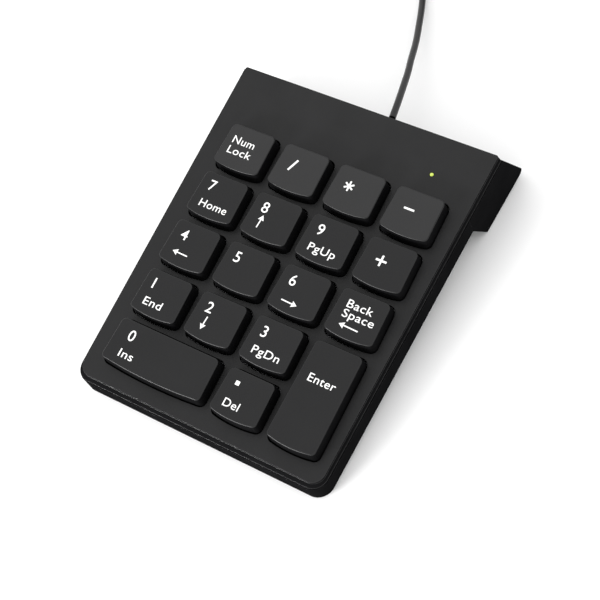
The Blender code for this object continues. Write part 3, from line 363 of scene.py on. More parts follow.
PLATE_PLASTIC = plastic("plate_plastic", (0.0072, 0.0072, 0.0076), 0.44, 0.23, 4200, 0.034 * MM,
                        streaks=True)
KEY_TOP_PLASTIC = plastic("key_top_plastic", (0.0064, 0.0064, 0.0068), 0.42, 0.22, 5200, 0.03 * MM)
# A lighter copy of the key-top plastic for the top row: painted sheen where those tops catch more light.
REAR_KEY_TOP_PAINTED_SHEEN = plastic("rear_key_top_painted_sheen", (0.0108, 0.0108, 0.0112), 0.41, 0.31, 5200,
                               0.03 * MM)
# Darker than the key tops: painted shade on the keys' sides, insides and clips.
KEY_SIDE_SHADED_PLASTIC = plastic("key_side_painted_shade", (0.005, 0.005, 0.0054), 0.5, 0.04, 5200, 0.008 * MM)
CASE_PLASTIC = plastic("case_plastic", (0.0064, 0.0064, 0.0068), 0.56, 0.0, 3600, 0.02 * MM)
KEY_EDGE_PLASTIC = plastic("key_edge_plastic", (0.0065, 0.0065, 0.0069), 0.3, 0.3, 5200, 0.004 * MM)
# Lighter than the case and plate: a painted highlight on rounded edges, on top of a really glossier finish.
EDGE_HIGHLIGHT_PLASTIC = plastic("edge_painted_highlight", (0.017, 0.017, 0.0175), 0.26, 0.5, 5200, 0.004 * MM)
GREY_PLASTIC = plastic("grey_plastic", (0.2, 0.2, 0.21), 0.5, 0.4, 3000, 0.02 * MM)
CHIP_BLACK = plastic("chip_black", (0.014, 0.014, 0.015), 0.5, 0.35, 7000, 0.01 * MM)
TAN_LACQUER = plastic("tan_lacquer", (0.45, 0.3, 0.14), 0.4, 0.5, 2500, 0.01 * MM)
SOCKET_BLACK = plastic("socket_black", (0.02, 0.02, 0.021), 0.45, 0.35, 5000, 0.008 * MM)
LEGEND_WHITE = ink("legend_white")
FOOT_RUBBER = rubber("foot_rubber", (0.012, 0.012, 0.012), 0.82)
CORD_SHEATH = rubber("cord_sheath", (0.005, 0.005, 0.0054), 0.34, 0.42)
TIE_BLACK = rubber("tie_black", (0.013, 0.013, 0.013), 0.6)
PLATED_STEEL = metal("plated_steel", (0.62, 0.62, 0.61), 0.32, (1, 12, 1))
SHELL_STEEL = metal("shell_steel", (0.7, 0.69, 0.67), 0.26, (0.4, 9, 9))
GOLD_PLATE = metal("gold_plate", (0.83, 0.62, 0.27), 0.24, (0.4, 9, 9))
BOARD_GREEN = board_green()
LENS_GLOW = glowing_lens()
SILICONE = milky("silicone", (0.52, 0.55, 0.56), 0.5)
FILM = milky("polyester_film", (0.6, 0.62, 0.6), 0.25)

SLOT_FINISH = {
    "cover": PLATE_PLASTIC, "case": CASE_PLASTIC, "keycap": KEY_TOP_PLASTIC,
    "inner_plastic": GREY_PLASTIC, "silicone": SILICONE, "film": FILM, "steel": PLATED_STEEL,
    "board": BOARD_GREEN, "chip": CHIP_BLACK, "resistor": TAN_LACQUER, "led": LENS_GLOW,
    "foot_rubber": FOOT_RUBBER, "cord": CORD_SHEATH,
}


def finish_frame_nodes():
    """Give every carried-over CAD node the material of its slot."""
    for entry in frame["record"]["subparts"]:
        node = nodes[entry["node"]]
        node.data.materials.clear()
        node.data.materials.append(SLOT_FINISH[entry["material_slot"]])


# ------------------------ mesh helpers

def fillet(corners, steps):
    """Round a polygon: corners are (x, y, radius), and radius 0 keeps a point sharp."""
    points = []
    count = len(corners)
    for index, (x, y, radius) in enumerate(corners):
        corner = Vector((x, y))
        if radius <= 0:
            points.append(corner)
            continue
        before = (Vector(corners[index - 1][:2]) - corner).normalized()
        after = (Vector(corners[(index + 1) % count][:2]) - corner).normalized()
        half = before.angle(after) / 2
        centre = corner + (before + after).normalized() * radius / sin(half)
        start = corner + before * radius / tan(half)
        end = corner + after * radius / tan(half)
        first = atan2(*(start - centre).yx)
        sweep = (atan2(*(end - centre).yx) - first + pi) % (2 * pi) - pi
        for step in range(steps + 1):
            angle = first + sweep * step / steps
            points.append(centre + radius * Vector((cos(angle), sin(angle))))
    return points


def four_sided(front, rear, steps=8):
    """A rounded outline from its front and rear ends, each (half width, y, corner radius)."""
    (half, low, radius), (rear_half, high, rear_radius) = front, rear
    return fillet([(-half, low, radius), (half, low, radius),
                   (rear_half, high, rear_radius), (-rear_half, high, rear_radius)], steps)


def rounded_rectangle(half_x, half_y, radius, steps=6):
    return four_sided((half_x, -half_y, radius), (half_x, half_y, radius), steps)


def circle(centre, radius, count):
    return [Vector((centre[0] + radius * cos(2 * pi * i / count),
                    centre[1] + radius * sin(2 * pi * i / count))) for i in range(count)]


def add_loops(bm, rings):
    """Add rings of points to a mesh as loops of vertices."""
    return [[bm.verts.new(p) for p in ring] for ring in rings]


def join_loops(bm, loops):
    """Join each loop to the next with four-sided faces; give them back band by band."""
    bands = []
    for lower, upper in zip(loops, loops[1:]):
        after = [*range(1, len(lower)), 0]
        bands.append([bm.faces.new((lower[i], lower[j], upper[j], upper[i]))
                      for i, j in enumerate(after)])
    return bands


def add_rings(bm, rings):
    """Add a closed solid that is skinned over a stack of equal rings of points."""
    loops = add_loops(bm, rings)
    join_loops(bm, loops)
    bm.faces.new(loops[0])
    bm.faces.new(loops[-1])


def level(outline, z):
    return [Vector((p[0], p[1], z)) for p in outline]


def mesh_from(bm, name):
    bmesh.ops.recalc_face_normals(bm, faces=bm.faces)
    mesh = bpy.data.meshes.new(name)
    bm.to_mesh(mesh)
    bm.free()
    return mesh


def skinned(name, rings):
    bm = bmesh.new()
    add_rings(bm, rings)
    return mesh_from(bm, name)


def walled(name, rings):
    """A mesh skinned over rings whose last meets the first, such as a sleeve's inside and outside."""
    bm = bmesh.new()
    loops = add_loops(bm, rings)
    join_loops(bm, loops + loops[:1])
    return mesh_from(bm, name)


def add_slab(bm, outline, bottom, top):
    """Add an upright solid to a mesh."""
    add_rings(bm, [level(outline, bottom), level(outline, top)])


def slab(name, outline, bottom, top):
    return skinned(name, [level(outline, bottom), level(outline, top)])


def turned_rings(profile, count=32):
    """Round rings about the z axis, from (radius, z) pairs in millimetres."""
    return [level(circle((0, 0), radius * MM, count), z * MM) for radius, z in profile]


def pillars(name, groups, count=32):
    """Upright round solids: each group is (centres, radius, bottom, top), the last three in mm."""
    bm = bmesh.new()
    for centres, radius, bottom, top in groups:
        for centre in centres:
            add_slab(bm, circle(centre, radius * MM, count), bottom * MM, top * MM)
    return mesh_from(bm, name)


def add_block(bm, low, high):
    """Add one axis-aligned solid to a mesh, from two of its corners in millimetres."""
    (x0, y0, z0), (x1, y1, z1) = ([value * MM for value in corner] for corner in (low, high))
    add_slab(bm, [(x0, y0), (x1, y0), (x1, y1), (x0, y1)], z0, z1)


def blocks(name, corners):
    bm = bmesh.new()
    for low, high in corners:
        add_block(bm, low, high)
    return mesh_from(bm, name)


def new_object(name, mesh, *materials, place=PANEL):
    obj = linked(name, mesh)
    obj.matrix_world = place
    if not mesh.materials:
        for material in materials:
            mesh.materials.append(material)
    return obj


def combine(target, operation, mesh):
    """Join or cut a mesh with another one, and keep only the result."""
    tool = new_object("tool", mesh, place=target.matrix_world)
    modifier = target.modifiers.new("combine", "BOOLEAN")
    modifier.operation = operation
    modifier.solver = "EXACT"
    modifier.object = tool
    bake(target)
    bpy.data.objects.remove(tool)


def bake(obj):
    """Apply an object's modifiers to its mesh."""
    bpy.context.view_layer.update()
    graph = bpy.context.evaluated_depsgraph_get()
    mesh = bpy.data.meshes.new_from_object(obj.evaluated_get(graph))
    mesh.name = obj.name
    obj.modifiers.clear()
    obj.data = mesh


def soften(obj, width, segments=2, angle=35, material=-1):
    """Round every edge sharper than an angle; the rounding may have its own material, such as the glossier,
    lighter edge plastic that paints a highlight.
    """
    modifier = obj.modifiers.new("soften", "BEVEL")
    modifier.width = width
    modifier.material = material
    modifier.segments = segments
    modifier.limit_method = "ANGLE"
    modifier.angle_limit = radians(angle)
    modifier.use_clamp_overlap = True
    bake(obj)


def shade(obj, angle=32):
    """Smooth shading, kept crisp across edges sharper than an angle, with flat faces kept flat."""
    obj.data.shade_smooth()
    obj.data.set_sharp_from_angle(angle=radians(angle))
    modifier = obj.modifiers.new("flat_faces", "WEIGHTED_NORMAL")
    modifier.keep_sharp = True
    modifier.weight = 100
    bake(obj)


def stand_for(obj, body, slot, *cad_nodes):
    """Settle a finished piece in the frame: its body and the CAD nodes it replaces. The slot argument is not
    used.
    """
    if obj.type == "MESH" and obj.data.users == 1:
        obj.data.transform(obj.matrix_world)
        obj.matrix_world = Matrix.Identity(4)
    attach(obj, body)
    if cad_nodes:
        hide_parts(*cad_nodes)


# ------------------------ the lead

def smooth_path(points, spacing):
    """Points at an even spacing along a smooth curve through the given ones."""
    given = [Vector(p) for p in points]
    ends = [given[0] * 2 - given[1]] + given + [given[-1] * 2 - given[-2]]
    dense = []
    for a, b, c, d in zip(ends, ends[1:], ends[2:], ends[3:]):
        for step in range(12):
            t = step / 12
            dense.append(0.5 * ((2 * b) + (c - a) * t + (2 * a - 5 * b + 4 * c - d) * t ** 2
                                + (3 * b - a - 3 * c + d) * t ** 3))
    dense.append(given[-1])
    lengths = [0.0]
    for first, second in zip(dense, dense[1:]):
        lengths.append(lengths[-1] + (second - first).length)
    count = ceil(lengths[-1] / spacing)
    path = []
    index = 0
    for step in range(count + 1):
        wanted = lengths[-1] * step / count
        while index < len(dense) - 2 and lengths[index + 1] < wanted:
            index += 1
        part = (wanted - lengths[index]) / (lengths[index + 1] - lengths[index])
        path.append(dense[index].lerp(dense[index + 1], part))
    return path


def coil_points():
    """The wound part of the lead, in millimetres: fourteen turns in a four by four bundle."""
    cells = [(3, 1), (3, 2), (3, 3), (2, 3), (2, 2), (2, 1), (1, 1), (1, 2), (1, 3), (0, 2),
             (0, 1), (1, 0), (2, 0), (3, 0)]
    pitch = 2 * CORD_RADIUS / MM

    def place(angle, radius, height):
        return (COIL_CENTRE[0] + radius * cos(angle), COIL_CENTRE[1] + radius * sin(angle), height)

    def radius_of(column):
        return COIL_MEAN_RADIUS + (column - 1.5) * pitch

    def height_of(row):
        return COIL_BOTTOM + (row + 0.5) * pitch

    outer = radius_of(3)
    points = []
    for degrees, radius, height in ((188, outer + 2.35, 1.7), (172, outer + 2.25, 2.9),
                                    (155, outer + 1.9, 3.9), (136, outer + 0.9, height_of(1))):
        points.append(place(radians(degrees), radius, height))
    per_turn = 20
    for step in range(per_turn * (len(cells) - 1) + 2):
        turn = step / per_turn
        index = min(int(turn), len(cells) - 2)
        part = min(turn - index, 1.0)
        part = part * part * (3 - 2 * part)
        first, second = cells[index], cells[index + 1]
        column = first[0] + (second[0] - first[0]) * part
        row = first[1] + (second[1] - first[1]) * part
        points.append(place(radians(116) - 2 * pi * turn, radius_of(column), height_of(row)))
    return points


def make_cord():
    """The whole lead as one curve: out of the case, down to the table, round the coil, to the plug."""
    points = CORD_ROUTE + coil_points() + CORD_END_ROUTE
    path = [p * MM for p in smooth_path(points, 2.7)]
    curve = bpy.data.curves.new("cord", "CURVE")
    curve.dimensions = "3D"
    curve.bevel_depth = CORD_RADIUS
    curve.bevel_resolution = 4
    curve.use_fill_caps = True
    spline = curve.splines.new("POLY")
    spline.points.add(len(path) - 1)
    for point, at in zip(spline.points, path):
        point.co = (*at, 1)
    curve.materials.append(CORD_SHEATH)
    cord = linked("cord", curve)
    stand_for(cord, "case", "cord", "usb_cord", "usb_cord_end", "cord_coil")
    return cord


def make_tie():
    """The plain strap that holds the coil."""
    half = 2 * 2 * CORD_RADIUS / MM
    slack, thick = 0.3, 0.5
    middle_z = COIL_BOTTOM + half
    inner = rounded_rectangle(half + slack, half + slack, 1.2)
    outer = rounded_rectangle(half + slack + thick, half + slack + thick, 1.7)
    width = 1.9
    rings = []
    for outline, side in ((inner, -width), (inner, width), (outer, width), (outer, -width)):
        rings.append([Vector((COIL_MEAN_RADIUS + p.x, side, middle_z + p.y)) * MM for p in outline])
    place = Matrix.Translation((COIL_CENTRE[0] * MM, COIL_CENTRE[1] * MM, 0)) \
        @ Matrix.Rotation(radians(100), 4, "Z")
    tie = new_object("cord_strap", walled("cord_strap", rings), TIE_BLACK, place=place)
    soften(tie, 0.2 * MM)
    shade(tie)
    stand_for(tie, "case", "cord", "cord_tie")
    return tie


def across(outline, x):
    """An outline of (y, z) points standing across the plug, at a place along it."""
    return [Vector((x, p[0], p[1])) for p in outline]


def make_plug():
    """A plain USB plug: ribbed tail, moulded grip, folded steel shell, tongue and contacts."""
    place = Matrix.Translation(PLUG_AT) @ Matrix.Rotation(PLUG_HEADING, 4, "Z")
    count = 4 * 7                  # as many points as a rounded rectangle, from the same corner on
    turns = [-pi * 3 / 4 + 2 * pi * i / count for i in range(count)]
    rings = []
    for x, radius in ((0, 1.55), (0.15, 1.85), (1.0, 1.95), (1.05, 1.6), (1.5, 1.6), (1.55, 2.2),
                      (2.5, 2.35), (2.55, 1.85), (3.0, 1.85), (3.05, 2.7), (4.0, 2.85),
                      (4.05, 2.2), (4.6, 2.25), (5.2, 3.1)):
        rings.append(across([(radius * MM * cos(turn), radius * MM * sin(turn)) for turn in turns], x * MM))
    for x, half_y, half_z, corner in ((5.35, 4.9, 3.0, 2.6), (5.9, 5.9, 3.3, 2.4), (7.4, 6.9, 3.55, 1.9),
                                      (10.0, 7.5, 3.7, 1.6), (22.0, 7.6, 3.7, 1.6), (23.4, 7.5, 3.62, 1.6),
                                      (23.85, 7.25, 3.4, 1.5), (24.0, 6.9, 3.1, 1.4)):
        rings.append(across(rounded_rectangle(half_y * MM, half_z * MM, corner * MM), x * MM))
    grip = new_object("plug_grip", skinned("plug_grip", rings), CORD_SHEATH, place=place)
    combine(grip, "DIFFERENCE", blocks("grooves", [((x, -4.2, z - 0.3), (x + 0.7, 4.2, z + 0.3))
                                                   for z in (-3.7, 3.7) for x in GROOVES_X]))
    soften(grip, 0.12 * MM, 1, 50)
    shade(grip)
    stand_for(grip, "case", "cord", "plug_overmould")

    first, last = SLEEVE_X[0] * MM, SLEEVE_X[1] * MM
    outer = rounded_rectangle(6.0 * MM, 2.25 * MM, 0.45 * MM, 5)
    inner = rounded_rectangle(5.7 * MM, 1.95 * MM, 0.25 * MM, 5)
    rings = [across(inner, first), across(outer, first), across(outer, last - 0.1 * MM),
             across([p * 0.985 for p in outer], last), across(inner, last)]
    shell = new_object("plug_sleeve", walled("plug_sleeve", rings), SHELL_STEEL, place=place)
    windows = [((29.3, y, z - 0.4), (31.6, y + 2.2, z + 0.4)) for z in (-2.1, 2.1) for y in (-3.3, 1.1)]
    seam = ((SLEEVE_X[0] - 1, -0.07, -2.6), (SLEEVE_X[1] + 1, 0.07, -1.7))
    combine(shell, "DIFFERENCE", blocks("windows", windows + [seam]))
    shade(shell)
    stand_for(shell, "case", "steel", "plug_shell")

    bar = blocks("plug_tongue_fine", [((24.4, -5.3, 0.1), (35.0, 5.3, 1.6))])
    tongue = new_object("plug_tongue_fine", bar, SOCKET_BLACK, place=place)
    soften(tongue, 0.15 * MM)
    shade(tongue)
    stand_for(tongue, "case", "inner_plastic", "plug_tongue")
    strips = [((x, y - 0.5, -0.02), (34.4, y + 0.5, 0.16))
              for x, y in ((26.8, -3.5), (27.8, -1.0), (27.8, 1.0), (26.8, 3.5))]
    contacts = new_object("plug_contacts", blocks("plug_contacts", strips), GOLD_PLATE, place=place)
    soften(contacts, 0.04 * MM, 1)
    stand_for(contacts, "case", "steel")
    return [grip, shell, tongue, contacts]


def make_strain_relief():
    """The short stepped sleeve round the lead, nearly flush with the sloping rear wall."""
    start = Vector(CORD_ROUTE[0]) * MM
    along = (Vector(CORD_ROUTE[1]) * MM - start).normalized()
    place = Matrix.Translation(start) @ along.to_track_quat("Z", "Y").to_matrix().to_4x4()
    rings = turned_rings([(1.2, -6.4), (2.25, -6.4), (2.25, -2.6), (2.15, -2.4), (1.7, -2.3),
                          (1.66, -1.9), (1.5, -1.85), (1.45, -1.5), (1.2, -1.4)])
    sleeve = new_object("strain_relief", walled("strain_relief", rings), CORD_SHEATH, place=place)
    shade(sleeve, 40)
    stand_for(sleeve, "case", "cord", "strain_relief_bush")


# ------------------------ the casings

def half_width(y):
    """Half the case's width at a place along it."""
    share = (y - CASE_FRONT_Y) / (CASE_REAR_Y - CASE_FRONT_Y)
    return (CASE_FRONT_WIDTH * (1 - share) + CASE_REAR_WIDTH * share) / 2


def case_outline(grow_side, grow_front, grow_rear):
    """The case's plan, grown or (with negative values) shrunk."""
    front = CASE_FRONT_Y - grow_front
    rear = CASE_REAR_Y + grow_rear
    front_half = half_width(front) + grow_side
    rear_half = half_width(rear) + grow_side
    front_radius = FRONT_RADIUS + min(grow_side, grow_front)
    rear_radius = max(REAR_RADIUS + min(grow_side, grow_rear), 0.6 * MM)
    return four_sided((front_half, front, front_radius), (rear_half, rear, rear_radius), 12)


def key_centre(column, row, columns, rows):
    """The middle of a key's foot on the plate."""
    return Vector((FIELD_X + (column - 1.5) * PITCH_X + (columns - 1) * PITCH_X / 2,
                   ROW_0_Y - row * PITCH_Y - (rows - 1) * PITCH_Y / 2))


def on_plate(at):
    """The panel's axes, moved to a place on the plate."""
    return PANEL @ Matrix.Translation((at[0], at[1], 0))


def key_outline(columns, rows, grow):
    """A key's plan: a rounded rectangle whose front edge bows out."""
    extra_x = (columns - 1) * PITCH_X / 2
    extra_y = (rows - 1) * PITCH_Y / 2
    front_half = KEY_FRONT_WIDTH / 2 + extra_x + grow
    rear_half = KEY_REAR_WIDTH / 2 + extra_x + grow
    front = -KEY_DEPTH / 2 - extra_y - grow
    rear = KEY_DEPTH / 2 + extra_y + grow
    bow = [(part * front_half, front - KEY_SMILE * (1 - part * part), 0)
           for part in (-0.6, -0.45, -0.3, -0.15, 0, 0.15, 0.3, 0.45, 0.6)]
    front_radius, rear_radius = KEY_FRONT_RADIUS + grow, KEY_REAR_RADIUS + grow
    return fillet([(-front_half, front, front_radius), *bow, (front_half, front, front_radius),
                   (rear_half, rear, rear_radius), (-rear_half, rear, rear_radius)], 7)


def make_top_cover():
    """The upper casing: plate with a stepped and rounded edge, key openings, rib and bosses."""
    rings = []
    for part, z in ((0.0, -PLATE_THICKNESS), (0.0, -BEVEL_DROP), (0.86, -0.72 * MM), (0.95, 0.0)):
        side, front = -LEDGE - BEVEL_SIDE * part, RIM_STEP - LEDGE - (BEVEL_FRONT + RIM_STEP) * part
        rings.append(level(case_outline(side, front, REAR_OVERHANG), z))
    cover = new_object("plate", skinned("plate", rings), PLATE_PLASTIC)
    reach = WALL + GAP
    inner = reach + 1.0 * MM
    rib = new_object("rib", slab("rib", case_outline(-reach, -reach, -reach), -3.4 * MM, -1.0 * MM))
    combine(rib, "DIFFERENCE", slab("rib_hollow", case_outline(-inner, -inner, -inner), -4 * MM,
                                    -PLATE_THICKNESS))
    rib_mesh = rib.data
    bpy.data.objects.remove(rib)
    combine(cover, "UNION", rib_mesh)
    combine(cover, "UNION", pillars("bosses", [(FRONT_SCREWS, 1.9, -5.1, -1.0),
                                               (REAR_SCREWS, 2.4, -6.7, -1.0)]))
    combine(cover, "DIFFERENCE", pillars("pilots", [
        (FRONT_SCREWS, 1.2, -6.0, -2.3), (REAR_SCREWS, 1.2, -8.0, -3.1),
        ([LED_XY], LENS_END_RADIUS + 0.08, -3.0, 1.0)], 24))
    bm = bmesh.new()
    for _, *cell in KEYS:
        outline = [p + key_centre(*cell) for p in key_outline(*cell[2:], KEY_FLARE + OPENING_GAP)]
        add_slab(bm, outline, -5 * MM, 2 * MM)
    combine(cover, "DIFFERENCE", mesh_from(bm, "openings"))
    cover.data.materials.append(CASE_PLASTIC)
    cover.data.materials.append(EDGE_HIGHLIGHT_PLASTIC)
    # Only the flat top keeps the lighter plate plastic; the bevel and walls take the darker, dull case
    # plastic as painted shade.
    for face in cover.data.polygons:
        face.material_index = 0 if face.normal.z > 0.9 and face.center.z > -0.1 * MM else 1
    soften(cover, 0.16 * MM, 3, 28, 2)
    # Only the cover's outer edges keep the lighter edge plastic, a painted highlight; inner edges go back to
    # the darker case plastic.
    for face in cover.data.polygons:
        x, y = face.center.x, face.center.y
        outside = abs(x) > half_width(y) - 3 * MM or y < CASE_FRONT_Y + 3 * MM or y > CASE_REAR_Y - 2 * MM
        if face.material_index == 2 and not outside:
            face.material_index = 1
    shade(cover, 30)
    stand_for(cover, "case", "cover", "top_cover")


def foot_outline(shrink=0.0, rounded=True):
    """The foot's (y, z) section: top rear, its two lower corners and the corner under the floor."""
    points = [Vector((CASE_REAR_Y, RIM_Z)), Vector(FOOT_REAR_BOTTOM), Vector(FOOT_FRONT_BOTTOM),
              Vector(FOOT_FRONT_TOP)]
    ways = [(b - a).normalized() for a, b in zip(points, points[1:])]
    inward = [Vector((way.y, -way.x)) for way in ways]
    moved = [points[0] + inward[0] * shrink]
    for k in (0, 1):
        turn = ways[k].x * ways[k + 1].y - ways[k].y * ways[k + 1].x
        offset = (inward[k + 1] - inward[k]) * shrink
        reach = (offset.x * ways[k + 1].y - offset.y * ways[k + 1].x) / turn
        moved.append(points[k + 1] + inward[k] * shrink + ways[k] * reach)
    moved.append(points[3] + inward[2] * shrink)
    if not rounded:
        return moved
    top_rear, low_rear, low_front, top_front = moved
    inside = Vector((FOOT_FRONT_TOP[0], top_rear.y))
    return fillet([(*top_rear, 0), (*inside, 0), (*top_front, 0), (*low_front, 1.0 * MM),
                   (*low_rear, FOOT_EDGE_RADIUS)], 7)


def section_prism(name, corners, inset):
    """A (y, z) section carried across the keypad, to an inset from its sides."""
    return skinned(name, [[Vector((sign * (half_width(y) - inset), y, z)) for y, z in corners]
                          for sign in (-1, 1)])


def rear_face_y(z):
    """Where the sloping rear face is, at a height in the panel's axes."""
    share = (z - RIM_Z) / (FOOT_REAR_BOTTOM[1] - RIM_Z)
    return CASE_REAR_Y + (FOOT_REAR_BOTTOM[0] - CASE_REAR_Y) * share


def make_bottom_case():
    """The lower casing: tray, rim, raised rear foot, wells, bosses and pillars."""
    chamfer = UNDERSIDE_CHAMFER
    rings = []
    for part in (0, 0.25, 0.5, 0.75, 1):
        inset = chamfer * (1 - sin(part * pi / 2))
        rise = chamfer * (1 - cos(part * pi / 2))
        rings.append(level(case_outline(-inset, FRONT_LEAN - inset, 0), -CASE_DEPTH + rise))
    rings.append(level(case_outline(0, RIM_STEP, 0), RIM_Z))
    case = new_object("tray", skinned("tray", rings), CASE_PLASTIC)
    combine(case, "UNION", section_prism("foot", foot_outline(), 0))
    floor = -CASE_DEPTH + FLOOR
    combine(case, "DIFFERENCE", slab("hollow", case_outline(-WALL, -WALL, -WALL), floor, MM))
    top_rear, low_rear, low_front, top_front = foot_outline(WALL, False)
    slope = (top_rear.x - low_rear.x) / (top_rear.y - low_rear.y)
    corners = [(top_rear.x + 3 * MM * slope, top_rear.y + 3 * MM), (top_front.x, top_rear.y + 3 * MM),
               top_front, low_front, low_rear]
    combine(case, "DIFFERENCE", section_prism("foot_hollow", corners, WALL))
    combine(case, "UNION", pillars("posts", [
        (FRONT_SCREWS, 2.8, -8.0, -5.4), (REAR_SCREWS, 3.6, -19.4, -7.0), (CLAMP_SCREWS, 2.4, -19.4, -8.2)]))
    combine(case, "DIFFERENCE", pillars("wells", [(FRONT_SCREWS, 1.9, -12, -7.4),
                                                  (REAR_SCREWS, 2.5, -30, -8.6)]))
    combine(case, "DIFFERENCE", pillars("holes", [(FRONT_SCREWS + REAR_SCREWS, 1.2, -10, -4),
                                                  (CLAMP_SCREWS, 1.2, -14.5, -7)], 24))
    exit_hole = pillars("exit_hole", [([(0, 0)], 2.6, -6, 6)])
    exit_hole.transform(Matrix.Translation((EXIT_X, rear_face_y(EXIT_Z), EXIT_Z))
                        @ Matrix.Rotation(pi / 2, 4, "X"))
    combine(case, "DIFFERENCE", exit_hole)
    recess = four_sided(*((LABEL_HALF_WIDTH, y, 1.5 * MM) for y in LABEL_Y), 6)
    combine(case, "DIFFERENCE", slab("recess", recess, -CASE_DEPTH - MM, -CASE_DEPTH + LABEL_DEPTH))
    # The tray's rounded edges take the lighter edge plastic: a painted highlight line.
    case.data.materials.append(EDGE_HIGHLIGHT_PLASTIC)
    soften(case, 0.26 * MM, 3, 30, 1)
    shade(case, 30)
    stand_for(case, "case", "case", "bottom_case")


# ------------------------ the keys

def dish_depth(columns, rows, x, y):
    """How far the key's top sinks at a place, from nothing at its border."""
    half_x = (KEY_REAR_WIDTH + (columns - 1) * PITCH_X) / 2
    half_y = (KEY_DEPTH + (rows - 1) * PITCH_Y) / 2
    return DISH * max(0.0, 1 - (x / half_x) ** 2) * max(0.0, 1 - (y / half_y) ** 2)


def key_mesh(columns, rows, wire, top):
    """A hollow keycap: flared sides, rounded top edge, shallow dish, stem, and any wire clips."""
    radius = 0.32 * MM
    steps = [(KEY_FLARE - 0.12 * MM, KEY_SKIRT_Z), (KEY_FLARE, KEY_SKIRT_Z + 0.12 * MM),
             (KEY_FLARE * 0.55, KEY_RISE * 0.45), (0.06 * MM, KEY_RISE - radius - 0.15 * MM)]
    side_rings = len(steps)
    for part in range(7):
        angle = part / 6 * pi / 2
        steps.append((0.04 * MM - radius * (1 - cos(angle)), KEY_RISE - radius * (1 - sin(angle))))
    rings = [level(key_outline(columns, rows, grow), z) for grow, z in steps]
    edge = key_outline(columns, rows, 0.04 * MM - radius)
    for size in (0.985, 0.93, 0.84, 0.7, 0.52, 0.32, 0.12):
        ring = [p * size for p in edge]
        rings.append([Vector((*p, KEY_RISE - dish_depth(columns, rows, *p))) for p in ring])
    bm = bmesh.new()
    edge_first, top_first = side_rings + 1, side_rings + 6
    loops = add_loops(bm, rings)
    count = len(loops[0])
    for k, band in enumerate(join_loops(bm, loops)):
        for face in band:
            # Tops, rounded edges and sides each get a material; the sides' darker plastic is painted shade.
            face.material_index = 0 if k >= top_first else 2 if k >= edge_first else 1
    bm.faces.new(loops[-1]).material_index = 0
    roof = KEY_RISE - KEY_ROOF
    inside = [level(key_outline(columns, rows, KEY_FLARE - KEY_WALL), KEY_SKIRT_Z),
              level(key_outline(columns, rows, -KEY_WALL), roof)]
    angles = [atan2(p.y, p.x) for p in key_outline(columns, rows, -KEY_WALL)]
    for reach, z in ((STEM_RADIUS, roof), (STEM_RADIUS, STEM_BOTTOM + 0.3 * MM),
                     (STEM_RADIUS - 0.3 * MM, STEM_BOTTOM)):
        inside.append([Vector((reach * cos(a), reach * sin(a), z)) for a in angles])
    inner_loops = loops[:1] + add_loops(bm, inside)
    for lower, upper in zip(inner_loops, inner_loops[1:]):
        for i in range(count):
            j = (i + 1) % count
            bm.faces.new((lower[j], lower[i], upper[i], upper[j])).material_index = 1
    bm.faces.new(inner_loops[-1]).material_index = 1
    if wire:
        add_wire_clips(bm, rows > 1, roof)
    mesh = mesh_from(bm, f"keycap_{columns}_{rows}")
    mesh.materials.append(top)
    mesh.materials.append(KEY_SIDE_SHADED_PLASTIC)
    mesh.materials.append(KEY_EDGE_PLASTIC)
    mesh.shade_smooth()
    mesh.set_sharp_from_angle(angle=radians(40))
    return mesh


def add_wire_clips(bm, turned, roof):
    """Two slotted ribs under the key's roof, which hold the stabiliser's long bar."""
    bar = WIRE_BAR_OFFSET / MM - 0.1
    top = WIRE_BAR_Z / MM + 0.8
    made = len(bm.verts)
    for x in (-7.0, 7.0):
        x0, x1 = x - 0.7, x + 0.7
        add_block(bm, (x0, bar - 1.8, top), (x1, bar + 1.3, roof / MM + 0.5))
        add_block(bm, (x0, bar - 1.8, -1.1), (x1, bar - 0.85, top - 0.001))
        add_block(bm, (x0, bar + 0.85, -1.1), (x1, bar + 1.3, top - 0.001))
    bm.verts.ensure_lookup_table()
    fresh = bm.verts[made:]
    if turned:
        bmesh.ops.rotate(bm, verts=fresh, cent=(0, 0, 0), matrix=Matrix.Rotation(pi / 2, 3, "Z"))
    for face in bm.faces:
        if face.verts[0].index >= made:
            face.material_index = 1


def text_mesh(words, cap, left, middle):
    """Lettering as a flat mesh, scaled to a cap height and set out from its left end."""
    def shape(body):
        curve = bpy.data.curves.new("lettering", "FONT")
        curve.body = body
        curve.size = 1.0
        curve.extrude = 0.5
        curve.resolution_u = 5
        curve.offset = LETTER_WEIGHT
        curve.space_character = 1.06
        obj = linked("lettering", curve)
        bpy.context.view_layer.update()
        mesh = bpy.data.meshes.new_from_object(obj.evaluated_get(bpy.context.evaluated_depsgraph_get()))
        bpy.data.objects.remove(obj)
        return mesh

    gauge = shape("H")
    tall = max(v.co.y for v in gauge.vertices)
    base = min(v.co.y for v in gauge.vertices)
    scale = cap / (tall - base)
    mesh = shape(words)
    start = min(v.co.x for v in mesh.vertices)
    wide = WORD_WIDTH.get(words, 0) / ((max(v.co.x for v in mesh.vertices) - start) * scale) or 1.0
    for vertex in mesh.vertices:
        vertex.co.x = (vertex.co.x - start) * scale * wide + left
        vertex.co.y = (vertex.co.y - (tall + base) / 2) * scale + middle
    return mesh


def bar_outline(first, second, width):
    """The outline of one straight stroke, with eased corners."""
    a, b = Vector(first) * MM, Vector(second) * MM
    along = (b - a).normalized()
    side = Vector((-along.y, along.x)) * width * MM / 2
    ease = 0.12 * MM
    corners = [(*(a - side), ease), (*(b - side), ease), (*(b + side), ease), (*(a + side), ease)]
    return fillet(corners, 4)


